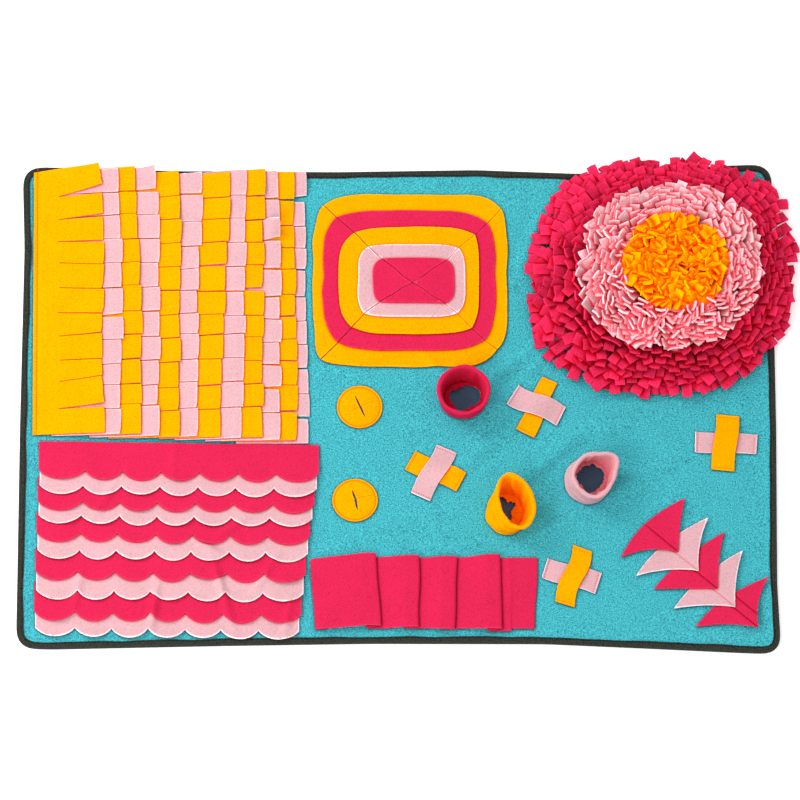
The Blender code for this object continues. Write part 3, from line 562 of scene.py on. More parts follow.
MATERIALS = {
    "turquoise": cloth_material("turquoise", grain=0.35, grain_size=1.4, tufts=1.35, depth=1.0),
    "slate": cloth_material("slate", grain=0.2, grain_size=1.4, ribs=0.4),
    "charcoal": cloth_material("charcoal", grain=0.8, grain_size=1.6),
    "yellow": cloth_material("yellow", grain=0.3, grain_size=1.2, ribs=0.35, gloss=0.0),
    "light_pink": cloth_material("light_pink", grain=0.24, grain_size=1.2, ribs=0.2),
    "hot_pink": cloth_material("hot_pink", grain=0.32, grain_size=1.1, ribs=0.2),
    # Copies for the flower tabs, whose painted crevice shade reaches further and is stronger.
    "yellow_tabs": cloth_material("yellow", grain=0.2, grain_size=1.5, gloss=0.0, reach=7.0, crevice_shade=2.5),
    "light_pink_tabs": cloth_material("light_pink", grain=0.25, grain_size=1.5, reach=7.0, crevice_shade=2.8),
    "hot_pink_tabs": cloth_material("hot_pink", grain=0.4, grain_size=1.5, reach=8.0, crevice_shade=3.0),
    **{thread: cloth_material(thread) for thread in ("red_thread", "orange_thread", "dark_thread")},
}


# ---------------------------------------------------------------- small tools

def mix(a, b, share):
    return a + (b - a) * share


def smooth(share):
    share = np.clip(share, 0.0, 1.0)
    return share * share * (3 - 2 * share)


def unit(vectors):
    return vectors / np.maximum(np.linalg.norm(vectors, axis=-1, keepdims=True), 1e-9)


def ripple(x, y, seed, size):
    """Smooth unevenness between about -1 and 1, with bumps about size apart."""
    rng = np.random.default_rng(seed)
    total = 0.0
    for _ in range(6):
        angle, phase = rng.uniform(0, 2 * math.pi, 2)
        wave = 2 * math.pi / (size * rng.uniform(1.2, 2.6))
        total = total + np.sin(wave * (x * math.cos(angle) + y * math.sin(angle)) + phase)
    return total / 3.0


def waves(kind, x, y, seed):
    """Gentle waves of a kind of piece, from its flat place upwards."""
    height, size = WAVES[kind]
    return height * (1 + ripple(x, y, seed, size))


def mound(away, height, width):
    """A soft rise or groove, highest where away is 0."""
    return height * np.exp(-(away / width) ** 2)


def fold_height(folds, x, y):
    """Height of soft ridges over a flat cloth."""
    total = 0.0
    for fold in folds:
        cos, sin = math.cos(math.radians(fold.angle)), math.sin(math.radians(fold.angle))
        along = ((x - fold.x) * cos + (y - fold.y) * sin) / fold.half_length
        across = ((y - fold.y) * cos - (x - fold.x) * sin) / fold.half_width
        total = total + fold.height * np.exp(-along ** 2 - across ** 2)
    return total


def ground(x, y):
    """Rise of the base panel above its flat place; it fades out towards the border."""
    fade_x, fade_y = (smooth((edge - np.abs(at)) / width)
                      for at, edge, width in zip((x, y), PANEL_EDGE, PANEL_FADE))
    return fade_x * fade_y * (fold_height(PANEL_FOLDS, x, y) + waves("panel", x, y, 4))


def nearest(points, targets, block=4000):
    """Distance from each point to the closest target."""
    found = []
    for start in range(0, len(points), block):
        part = points[start:start + block, None, :] - targets[None, :, :]
        found.append(np.sqrt((part ** 2).sum(-1).min(1)))
    return np.concatenate(found)


def along_line(corners, cell):
    """Points along a line of corners, no further apart than cell, with the corners kept."""
    corners = np.asarray(corners, float)
    points = [corners[:1]]
    for start, end in zip(corners, corners[1:]):
        count = max(1, math.ceil(np.linalg.norm(end - start) / cell))
        points.append(mix(start, end, np.arange(1, count + 1)[:, None] / count))
    return np.concatenate(points)


def reach_along(line):
    """Distance from the start of a line to each of its points."""
    return np.concatenate([[0], np.cumsum(np.linalg.norm(np.diff(line, axis=0), axis=1))])


def closed(outline):
    outline = np.asarray(outline, float)
    return np.concatenate([outline, outline[:1]])


def inside(points, outlines):
    """Which points lie inside an odd number of the outlines."""
    x, y = points[:, 0], points[:, 1]
    result = np.zeros(len(points), bool)
    for outline in outlines:
        loop = np.asarray(outline, float)
        for (ax, ay), (bx, by) in zip(loop, np.roll(loop, -1, axis=0)):
            if ay != by:
                crosses = (ay > y) != (by > y)
                result ^= crosses & (x < (bx - ax) * (y - ay) / (by - ay) + ax)
    return result


# ---------------------------------------------------------------- meshes

def triangulate(outline, cell, seed, holes=(), guides=()):
    """Fill an outline with even triangles of about the cell's size.

    Holes may cross the outline, and triangle edges follow the guides.
    """
    rims = [along_line(closed(loop), cell) for loop in (outline, *holes)]
    lines = rims + [along_line(guide, cell) for guide in guides]
    fixed = np.concatenate(lines)
    edges = []
    for line in lines:
        start = edges[-1][1] + 1 if edges else 0
        edges += [(start + i, start + i + 1) for i in range(len(line) - 1)]
    low, high = rims[0].min(0), rims[0].max(0)
    rows = np.arange(low[1] + cell / 2, high[1], cell * ROW_STEP)
    x, y = np.meshgrid(np.arange(low[0] + cell / 2, high[0], cell), rows)
    x = x + (np.arange(len(rows)) % 2)[:, None] * cell / 2
    grid = np.stack([x.ravel(), y.ravel()], axis=1)
    grid += np.random.default_rng(seed).uniform(-CELL_STRAY, CELL_STRAY, grid.shape) * cell

    def within(points):
        return inside(points, [outline]) & ~inside(points, holes)

    grid = grid[within(grid)]
    grid = grid[nearest(grid, fixed) > CELL_CLEARANCE * cell]
    points = [Vector(point) for point in np.concatenate([fixed, grid])]
    points, _, faces, _, _, _ = delaunay_2d_cdt(points, edges, [], 0, 1e-4)
    points, faces = np.array(points), np.array(faces)
    used, faces = np.unique(faces[within(points[faces].mean(1))], return_inverse=True)
    points, faces = points[used], faces.reshape(-1, 3)
    a, b, c = (points[faces[:, i]] for i in range(3))
    area = ((b - a)[:, 0] * (c - a)[:, 1] - (b - a)[:, 1] * (c - a)[:, 0]) / 2
    faces[area < 0] = faces[area < 0][:, ::-1]
    return points, faces, float(np.abs(area).sum())


def grid_quads(rows, columns, wrap_rows=False, wrap_columns=False):
    """Corners of each cell of a grid of points, whose last row or column may join the first."""
    row, column = np.mgrid[0:rows - 1 + wrap_rows, 0:columns - 1 + wrap_columns].reshape(2, -1)
    here, following = row * columns, (row + 1) % rows * columns
    beside = (column + 1) % columns
    return np.stack([here + column, here + beside, following + beside, following + column], axis=1)


def grid_triangles(rows, columns, wrapped=False):
    """Two triangles for each cell of a grid of points, whose last column may join the first."""
    quads = grid_quads(rows, columns, wrap_columns=wrapped)
    return np.concatenate([quads[:, (0, 1, 2)], quads[:, (0, 2, 3)]])


def shell(middle, triangles, thickness, seed, ragged=0.12):
    """Give a middle surface its thickness, with a slightly rounded and ragged cut edge."""
    corners = [middle[triangles[:, i]] for i in range(3)]
    face_normals = np.cross(corners[1] - corners[0], corners[2] - corners[0])
    normals = np.zeros_like(middle)
    for i in range(3):
        np.add.at(normals, triangles[:, i], face_normals)
    normals = unit(normals)

    count = len(middle)
    edges = np.concatenate([triangles[:, (0, 1)], triangles[:, (1, 2)], triangles[:, (2, 0)]])
    key = np.sort(edges, axis=1) @ np.array([count, 1])
    _, first, times = np.unique(key, return_index=True, return_counts=True)
    border = edges[first[times == 1]]
    a, b = border[:, 0], border[:, 1]
    outward = np.zeros_like(middle)
    direction = unit(middle[b] - middle[a])
    for end in (a, b):
        np.add.at(outward, end, np.cross(direction, normals[end]))
    outward = unit(outward)
    rim = np.unique(border)

    rough = np.random.default_rng(seed).uniform(-ragged, ragged, (count, 1))
    edge = middle + outward * (rough - EDGE_INSET * thickness)
    fold = middle[rim] + outward[rim] * (rough[rim] + EDGE_BULGE * thickness)
    points = np.concatenate([edge + normals * thickness / 2, edge - normals * thickness / 2, fold])
    at_fold = np.zeros(count, int)
    at_fold[rim] = 2 * count + np.arange(len(rim))
    quads = np.concatenate([np.stack([b, a, at_fold[a], at_fold[b]], axis=1),
                            np.stack([at_fold[b], at_fold[a], a + count, b + count], axis=1)])
    faces = np.concatenate([triangles, triangles[:, ::-1] + count])
    # Border values mark where the material paints its edge highlight (1) and its painted cut side colour (2).
    border = np.zeros(len(points))
    border[rim] = 1.0
    border[rim + count] = 1.0
    border[2 * count:] = 2.0
    source = np.concatenate([np.arange(count), np.arange(count), rim])
    return points, faces, quads, border, source


def join_shells(parts):
    """Several shells as one mesh."""
    first = np.cumsum([0] + [len(part[0]) for part in parts])
    return {
        "points": np.concatenate([part[0] for part in parts]),
        "triangles": np.concatenate([part[1] + start for part, start in zip(parts, first)]),
        "quads": np.concatenate([part[2] + start for part, start in zip(parts, first)]),
        "border": np.concatenate([part[3] for part in parts]),
    }


def add_object(name, data):
    """A new object in the scene."""
    made = bpy.data.objects.new(name, data)
    bpy.context.scene.collection.objects.link(made)
    return made


def make_object(name, colour, points, triangles=(), quads=(), border=None, sharp=48, **more):
    """A smooth shaded object in metres from points in millimetres, with values for its cloth, such as where
    its painted highlight and painted shade go and its tone.
    """
    mesh = bpy.data.meshes.new(name)
    mesh.vertices.add(len(points))
    mesh.vertices.foreach_set("co", (np.asarray(points) * MM).astype(np.float32).ravel())
    corners = np.concatenate([np.asarray(faces, np.int32).ravel() for faces in (triangles, quads)])
    sizes = np.repeat((3, 4), (len(triangles), len(quads)))
    mesh.loops.add(len(corners))
    mesh.loops.foreach_set("vertex_index", corners)
    mesh.polygons.add(len(sizes))
    mesh.polygons.foreach_set("loop_start", np.concatenate([[0], np.cumsum(sizes)[:-1]]))
    mesh.update(calc_edges=True)
    mesh.shade_smooth()
    mesh.set_sharp_from_angle(angle=math.radians(sharp))
    for title, values in (("border", border), *more.items()):
        if values is not None:
            layer = mesh.attributes.new(title, "FLOAT", "POINT")
            layer.data.foreach_set("value", np.asarray(values, np.float32))
    mesh.materials.append(MATERIALS[colour])
    piece = add_object(name, mesh)
    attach(piece, BODY)
    return piece


def sheet_piece(node, colour, middle, triangles, flat, area=None, thickness=FLEECE,
                held="laid", rests_on=(PANEL_CLOTH,), seed=0, ragged=0.12, edge=1.0, **more):
    """A cloth piece that takes the place of a solid; flat and area are its cut in millimetres, and are not
    used.
    """
    points, faces, quads, border, source = shell(middle, triangles, thickness, seed, ragged)
    # edge sets how strongly the painted highlight shows along the cut edge.
    border[border == 1] = edge
    more = {title: values[source] for title, values in more.items()}
    piece = make_object(f"{node}_cloth", colour, points, faces, quads, border, **more)
    area = flat[0] * flat[1] if area is None else area
    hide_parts(node)


def cut_piece(node, colour, outline, place, cell, holes=(), guides=(), seed=0, **how):
    """Cut a flat pattern and put it in place; place gives the middle of the cloth."""
    flat, faces, area = triangulate(outline, cell, seed, holes, guides)
    middle = np.stack(place(flat[:, 0], flat[:, 1]), axis=1)
    sheet_piece(node, colour, middle, faces, np.ptp(flat, axis=0), area=area, seed=seed, **how)


def next_cloth(pattern, number, count):
    """Name of the sheet under one of a row of overlapping pieces."""
    return f"{pattern.format(number + 1)}_cloth" if number < count else PANEL_CLOTH


def add_stitches(name, colour, lines, stitch=2.4, gap=1.2, radius=0.3):
    """Rows of thread stitches along lines of points that lie on the cloth."""
    sides, rings = STITCH_SIDES, len(STITCH_RINGS)
    cap = np.array([(0, 3, 2, 1), (0, 5, 4, 3)])
    quads = np.concatenate([grid_quads(rings, sides, wrap_columns=True), cap,
                            cap[:, ::-1] + (rings - 1) * sides])
    turn = np.arange(sides)[:, None] / sides * 2 * math.pi
    rng = np.random.default_rng(len(lines))
    points = []
    for line in lines:
        reach = reach_along(line)
        for start in np.arange(0, reach[-1] - stitch, stitch + gap):
            length = stitch * rng.uniform(0.85, 1.1)
            at = [start + share * length for share, _, _ in STITCH_RINGS]
            centre = np.stack([np.interp(at, reach, line[:, i]) for i in range(3)], axis=1)
            along = unit(centre[-1] - centre[0])
            side = unit(np.cross(along, (0.0, 0.0, 1.0)))
            up = np.cross(side, along)
            offset = np.cos(turn) * side + np.sin(turn) * up
            for (_, size, rise), middle in zip(STITCH_RINGS, centre):
                points.append(middle + radius * (size * offset + rise * up))
    first = np.arange(0, len(points), rings)[:, None, None] * sides
    make_object(name, colour, np.concatenate(points), quads=(quads + first).reshape(-1, 4))


# ---------------------------------------------------------------- mat and binding

def rounded_corner(corner, before, after, steps=10):
    """Points of the arc that rounds a corner between its two neighbours."""
    corner = np.array(corner, float)
    start = corner + CORNER_RADIUS * unit(np.array(before) - corner)
    end = corner + CORNER_RADIUS * unit(np.array(after) - corner)
    turn = np.linspace(0, math.pi / 2, steps + 1)[:, None]
    return corner + (start - corner) * (1 - np.sin(turn)) + (end - corner) * (1 - np.cos(turn))


def mat_outline(cell=6.0):
    """The border of the mat, anticlockwise from the far left corner, evenly spaced."""
    sides = [tuple(reversed(BORDER[side])) for side in ("left", "near", "right", "far")]
    corners = [BORDER[corner] for corner in ("far_left", "near_left", "near_right", "far_right")]
    loop = []
    for number, corner in enumerate(corners):
        loop.append(rounded_corner(corner, sides[number - 1][-1], sides[number][0]))
        loop.append(np.array(sides[number], float))
    loop = np.concatenate(loop)
    reach = reach_along(closed(loop))
    at = np.linspace(0, reach[-1], int(reach[-1] / cell), endpoint=False)
    even = np.stack([np.interp(at, reach, closed(loop)[:, i]) for i in (0, 1)], axis=1)
    for _ in range(3):
        even = (np.roll(even, 1, axis=0) + 2 * even + np.roll(even, -1, axis=0)) / 4
    return even


def inset(outline, distance):
    """Move every point of an anticlockwise outline inwards."""
    along = unit(np.roll(outline, -1, axis=0) - np.roll(outline, 1, axis=0))
    inward = np.stack([-along[:, 1], along[:, 0]], axis=1)
    return outline + inward * np.reshape(distance, (-1, 1))


def mat_layer_height(outline, x, y, floor_z, border_z):
    """A mat layer lies low in its middle and is raised along its bound border."""
    away = nearest(np.stack([x, y], axis=1), along_line(closed(outline), 1.5))
    raised = 1 - smooth((away - FLOOR_RAMP[0]) / (FLOOR_RAMP[1] - FLOOR_RAMP[0]))
    return mix(floor_z, border_z, raised)


def tube_hole(tube, count=40):
    """The hole in the base panel under a standing tube."""
    x, y, rx, ry = tube.foot
    turn = np.linspace(0, 2 * math.pi, count, endpoint=False)
    reach = TUBE_WALL + 2 * GAP
    return np.stack([x + (rx - reach) * np.cos(turn), y + (ry - reach) * np.sin(turn)], axis=1)


def make_mat():
    outline = mat_outline()
    border_z = TAPE + GAP
    border = inset(outline, border_z)
    guides = [closed(inset(outline, distance)) for distance in FLOOR_RAMP]

    def backing(x, y):
        return x, y, mat_layer_height(outline, x, y, 0, border_z) + BACKING / 2

    cut_piece("backing", "slate", border, backing, 30.0, guides=guides, thickness=BACKING,
              rests_on=[], seed=1, ragged=0.02)
    step = BACKING + GAP

    def panel(x, y):
        z = mat_layer_height(outline, x, y, step, border_z + step) + PANEL / 2
        return x, y, z + ground(x, y)

    cut_piece("base_fleece", "turquoise", border, panel, 6.0, guides=guides, thickness=PANEL,
              holes=[tube_hole(tube) for tube in TUBES], rests_on=["backing_cloth"], seed=2)
    make_binding(outline)


def make_binding(outline):
    """Ribbed tape folded round the border, with a row of stitches along its inner edge."""
    seam = BINDING_WIDTH - BINDING_SEAM
    under = BINDING_TOP - TAPE
    ribs = np.linspace(0.9, BINDING_WIDTH - 0.3, 26)
    groove = mound(ribs - seam, *BINDING_GROOVE)
    height, pitch = BINDING_RIBS
    ridge = height * (1 + np.cos(2 * math.pi * (ribs - 1.8) / pitch)) * (ribs < BINDING_WIDTH - 2.4)
    section = [(BINDING_WIDTH, 0.0), (5.0, 0.0), (0.7, 0.0), (0.15, 0.4), (0.0, 1.0), (0.25, 2.0),
               (0.0, 3.0), (0.2, 4.0), (0.1, BINDING_TOP - 0.9), (0.4, BINDING_TOP - 0.4)]
    section += list(zip(ribs, BINDING_TOP - 0.6 + ridge - groove))
    section += [(BINDING_WIDTH, BINDING_TOP - 0.7), (BINDING_WIDTH, under), (5.0, under), (TAPE, under),
                (TAPE, TAPE), (5.0, TAPE), (BINDING_WIDTH, TAPE)]
    wobble = 0.7 * ripple(*outline.T, 31, 40.0)

    def loop(distance, z):
        moved = inset(outline, distance + wobble * distance / BINDING_WIDTH)
        return np.column_stack([moved, np.full(len(moved), z)])

    quads = grid_quads(len(section), len(outline), wrap_rows=True, wrap_columns=True)[:, (0, 3, 2, 1)]
    tape = make_object("binding_tape", "charcoal", np.concatenate([loop(*spot) for spot in section]),
                       quads=quads)
    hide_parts("binding")
    add_stitches("binding_stitches", "dark_thread", [closed(loop(seam, BINDING_TOP - 0.75))],
                 stitch=2.6, gap=1.0, radius=0.32)


# ---------------------------------------------------------------- fringe and scallops

def seam_x(number):
    """X of the sewn edge of a fringe strip."""
    return float(np.interp(number, *zip(*FRINGE_SEAMS)))


def strips_begun(x):
    """How many fringe strips have started by x; it rises evenly between seams."""
    numbers, seams = zip(*FRINGE_SEAMS)
    return np.interp(x, seams, numbers)


def make_fringe_strip(number, strip):
    """Tabs cut into one strip; the first strip is on top and shows its stitched left edge."""
    rng = np.random.default_rng(100 + number)
    seam, count = seam_x(number), FRINGE_TABS
    stitch_x = seam + FRINGE_STITCH_INSET
    even = FRINGE_TOP_Y - FRINGE_DRIFT * (number - 1) - FRINGE_PITCH * np.arange(1, count)
    tip_y = np.array([strip.top, *(even + strip.cuts), strip.bottom])
    slant = rng.uniform(-FRINGE_SLANT, FRINGE_SLANT, count + 1)
    if number == 1:
        slant[:] = FRINGE_FIRST_SLANTS
    slant[[0, -1]] *= 0.5
    root_y = tip_y - slant
    gape = np.array([FRINGE_GAPES.get((number, cut), FRINGE_SLIT + rng.exponential(FRINGE_OPENING))
                     for cut in range(count + 1)])
    gape[[0, -1]] = 0
    tip_x = np.interp(tip_y, (strip.bottom, 0.5 * (strip.top + strip.bottom), strip.top),
                      (strip.near, strip.middle, strip.far))
    root_x = tip_x - FRINGE_TAB_LENGTH + rng.uniform(-FRINGE_UNEVEN, FRINGE_UNEVEN, count + 1)
    outline = [(seam, root_y[0] - (1.0 if number == 1 else 4.0)), (seam, strip.bottom)]
    for tab in range(count, 0, -1):
        high, low = tip_y[tab - 1] - gape[tab - 1] / 2, tip_y[tab] + gape[tab] / 2
        lean = (slant[tab - 1] + slant[tab]) / 2 / FRINGE_TAB_LENGTH
        lean = lean + rng.uniform(-FRINGE_LEAN, FRINGE_LEAN)
        end = (tip_x[tab - 1] + tip_x[tab]) / 2 + rng.uniform(-FRINGE_UNEVEN, FRINGE_UNEVEN)
        half = (high - low) / 2
        if tab < count:
            outline.append((root_x[tab], root_y[tab] + FRINGE_SLIT / 2))
        bulge = end + FRINGE_BULGE
        outline += [(end + lean * half, low), (bulge, low + 0.5 * half),
                    (bulge - lean * half / 2, high - 0.5 * half), (end - lean * half, high)]
        if tab > 1:
            outline.append((root_x[tab - 1], root_y[tab - 1] - FRINGE_SLIT / 2))
    curls = rng.uniform(*FRINGE_CURLS, count) * (rng.random(count) < FRINGE_CURLED)
    rolls = rng.uniform(-FRINGE_ROLL, FRINGE_ROLL, count)
    twists = np.radians([FRINGE_TWISTED.get((number, tab), 0.0) for tab in range(1, count + 1)])

    def place(x, y):
        share = (x - root_x[0]) / FRINGE_TAB_LENGTH
        cut_lines = [mix(root_y[cut], tip_y[cut], (x - root_x[cut]) / FRINGE_TAB_LENGTH)
                     for cut in range(count + 1)]
        tab = np.sum([y < line for line in cut_lines[1:-1]], axis=0)
        high, low = np.choose(tab, cut_lines[:-1]), np.choose(tab, cut_lines[1:])
        middle, half = (high + low) / 2, (high - low) / 2
        across = np.clip((y - middle) / half, -1, 1)
        near_tip = smooth((share - FRINGE_TIP) / (1 - FRINGE_TIP))
        roll = 0.7 * np.abs(rolls[tab]) * (1 + across * np.sign(rolls[tab]))
        z = LAID_Z + LAYER * (strips_begun(x) - number) + near_tip * (curls[tab] + roll)
        z = z + FRINGE_LIFT_SLOPE * np.maximum(0, y - FRINGE_LIFT_Y) + ground(x, y)
        z = z + waves("fringe", x, y, number)
        turn = twists[tab] * near_tip
        z = z + half * np.sin(turn) * (1 + across)
        y = middle + (y - middle) * np.cos(turn)
        if number == 1:
            z = z - mound(x - stitch_x, *FRINGE_GROOVE)
        return x, y, z

    guides = []
    if number == 1:
        guides = [[(stitch_x + off, strip.top - 1), (stitch_x + off, strip.bottom + 1)] for off in (-2, 0, 2)]
    # The tabs' cut edges get a weaker painted highlight.
    cut_piece(f"fringe_{number:02d}", "yellow" if number % 2 else "light_pink", outline, place, 4.0,
              guides=guides, rests_on=[next_cloth("fringe_{:02d}", number, len(FRINGE))],
              seed=number, edge=0.78)
    if number == 1:
        y = np.arange(strip.top - 4, strip.bottom + 4, -2.0)
        x, y, z = place(np.full(len(y), stitch_x), y)
        add_stitches("fringe_01_stitches", "orange_thread", [np.column_stack([x, y, z + FLEECE / 2])],
                     stitch=2.8, gap=0.8, radius=0.42)


def make_scallop_strip(number):
    """One strip with a scalloped near edge; the first strip is on top."""
    rng = np.random.default_rng(200 + number)
    count = len(SCALLOP_HEIGHTS)
    left, first, space, right = mix(*np.array(SCALLOP_ENDS), (number - 1) / (count - 1))
    left = left + (SCALLOP_STAGGER if number % 2 == 0 else -SCALLOP_STAGGER)
    seam = SCALLOP_FIRST_Y - SCALLOP_PITCH * (number - 1)
    last_seam = SCALLOP_FIRST_Y - SCALLOP_PITCH * (count - 1)
    valley = seam - SCALLOP_HEIGHTS[number - 1] + SCALLOP_DEPTH
    radius = (space ** 2 / 4 + SCALLOP_DEPTH ** 2) / 2 / SCALLOP_DEPTH

    def slanted(x, y):
        return x, y + SCALLOP_SLANT * (x - left)

    outline = [slanted(right, seam), slanted(left, seam)]
    valleys = np.array([left, *(first + space * np.arange(SCALLOP_COUNT - 1)), right])
    valleys[1:-1] += rng.uniform(-SCALLOP_SHIFT, SCALLOP_SHIFT, SCALLOP_COUNT - 1)
    for scallop, (start, end) in enumerate(zip(valleys, valleys[1:]), start=1):
        depth = SCALLOP_DEPTH * SCALLOP_SHALLOW.get((number, scallop), 1.0)
        sag = rng.uniform(-SCALLOP_SAG, SCALLOP_SAG)
        for x in np.linspace(start, end, SCALLOP_STEPS, endpoint=False):
            off = (x - (start + end) / 2) * space / (end - start)
            arc = math.sqrt(max(radius ** 2 - off ** 2, 0)) - radius + SCALLOP_DEPTH
            outline.append(slanted(x, valley - arc * (depth + sag) / SCALLOP_DEPTH))
    outline.append(slanted(right, valley))

    def place(x, y):
        straight = y - SCALLOP_SLANT * (x - left)
        z = LAID_Z + LAYER / SCALLOP_PITCH * (seam - np.maximum(straight, last_seam))
        z = z + SCALLOP_EDGE_SLOPE * np.maximum(0, SCALLOP_EDGE_Y - y)
        z = z + ground(x, y) + fold_height(SCALLOP_FOLDS, x, y)
        edge = smooth((valley + SCALLOP_CURL_START - straight) / SCALLOP_CURL_WIDTH)
        curl = np.clip(1.0 + 1.3 * ripple(x, y * 0.3, 300 + number, 45.0), 0, SCALLOP_CURL_MAX)
        return x, y, z + edge * curl + waves("scallop", x, y, 320 + number)

    cut_piece(f"scallop_{number:02d}", "hot_pink" if number % 2 else "light_pink", outline, place, 3.5,
              rests_on=[next_cloth("scallop_{:02d}", number, count)], seed=200 + number)


# ---------------------------------------------------------------- flaps and pockets

def across_way(start, end):
    """The direction to the left of the way from start to end."""
    along = unit(np.array(end, float) - start)
    return np.array([-along[1], along[0]])


def slit_star(middle, ends, half_widths):
    """The cut-away of slits that meet in the middle, as one star-shaped outline."""
    share = np.concatenate([[0.02], np.linspace(0.0, 1.0, 9)[1:]])[:, None]
    outline = []
    for end, half in zip(ends, half_widths):
        centre = mix(middle, end, share)
        aside = across_way(middle, end) * (half * (1 - share ** 3))
        outline += [*(centre - aside), *(centre + aside)[-2::-1]]
    return np.array(outline)


def slit_path(layer, slit):
    """The slit from the middle out to its end on a layer, through its ends on the layers above."""
    ends = [(flap.far_left, flap.near_left, flap.near_right, flap.far_right)[slit]
            for flap in reversed(FLAPS[layer:])]
    path = np.array([FLAP_MIDDLE, *ends])
    side = across_way(path[0], path[1]) * FLAP_SWAYS[slit]
    bends = [mix(path[0], path[1], share) + side * sway for share, sway in ((0.3, 0.7), (0.6, -0.6))]
    return np.concatenate([path[:1], bends, path[1:]])


def flap_outline(layer, side):
    """One of the four flaps of a layer: out along a slit, round its side and back."""
    flap = FLAPS[layer]
    slide = FLAP_STEPS[side] * np.array(((-1, 0), (0, -1), (1, 0), (0, 1)))[side]
    out, back = slit_path(layer, side), slit_path(layer, (side + 1) % 4)
    reach = (flap.left, flap.near, flap.right, flap.far)[side]
    axis = side % 2
    share = np.linspace(0, 1, 33)[1:-1]
    rim = mix(out[-1], back[-1], share[:, None])
    swell = 1 - np.abs(2 * share - 1) ** flap.square
    uneven = FLAP_RIPPLES[side] * (1 - 0.2 * layer) * ripple(*rim.T, 45 + layer, 30.0)
    rim[:, axis] += (reach - rim[:, axis] + uneven) * swell
    edges = []
    for path, hand in ((out, 1), (back, -1)):
        along = unit(np.gradient(path, axis=0))
        inward = hand * np.stack([-along[:, 1], along[:, 0]], axis=1)
        spread = np.linspace(0, 1, len(path))[:, None]
        edges.append(path + inward * FLAP_SLIT * mix(1.9, 1.0, spread) + slide * spread)
    return np.concatenate([edges[0], rim + slide, edges[1][:0:-1]])


def make_flap_layer(layer, flap):
    """Four triangular flaps between the slits, as one sheet; their points lift in the middle."""
    shells, area, cuts = [], 0.0, []
    for side, lift in enumerate(FLAP_LIFTS):
        flat, faces, size = triangulate(flap_outline(layer, side), 3.6, 40 + layer)
        x, y = flat.T
        away = np.hypot(x - FLAP_MIDDLE[0], y - FLAP_MIDDLE[1])
        z = LAID_Z + layer * (FLEECE + GAP) + ground(x, y)
        z = z + mound(away, lift, FLAP_POINT) + waves("flap", x, y, 40 + side)
        z = z + (0.5 + 0.5 * FLAP_STEPS[side]) * smooth((away - FLAP_RIM_START) / FLAP_RIM_WIDTH)
        shells.append(shell(np.stack([x, y, z], axis=1), faces, FLEECE, 40 + layer))
        area += size
        cuts.append(flat)
    name = f"flap_layer_{layer + 1}"
    piece = make_object(f"{name}_cloth", flap.colour, **join_shells(shells))
    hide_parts(name)


def make_pocket(pocket):
    """A round pocket with a dome inside its ring of stitches, slit by a cross."""
    centre = np.array([pocket.x, pocket.y])
    seam_radius = pocket.radius - POCKET_SEAM
    turn = np.linspace(0, 2 * math.pi, 60, endpoint=False)

    def circle(radius):
        return centre + radius * np.column_stack([np.cos(turn), np.sin(turn)])

    def place(x, y):
        away = np.hypot(x - centre[0], y - centre[1])
        dome = POCKET_DOME * np.clip(1 - (away / (seam_radius - 1)) ** 2, 0, 1)
        groove = mound(away - seam_radius, *POCKET_GROOVE)
        return x, y, CLOTH_Z + GAP + FLEECE / 2 + ground(x, y) + dome - groove

    star = slit_star(centre + pocket.crossing, [centre + tip for tip in pocket.tips],
                     (0.9 * pocket.gape, POCKET_SLIT, pocket.gape, POCKET_SLIT))
    guides = [closed(circle(seam_radius + off)) for off in (-1.6, 0, 1.5)]
    cut_piece(pocket.name, "yellow", circle(pocket.radius), place, 2.6, holes=[star], guides=guides, seed=60)
    x, y, z = place(*closed(circle(seam_radius)).T)
    add_stitches(f"{pocket.name}_stitches", "orange_thread",
                 [np.column_stack([x, y, z + FLEECE / 2])], radius=0.34)


# ---------------------------------------------------------------- crossed strips

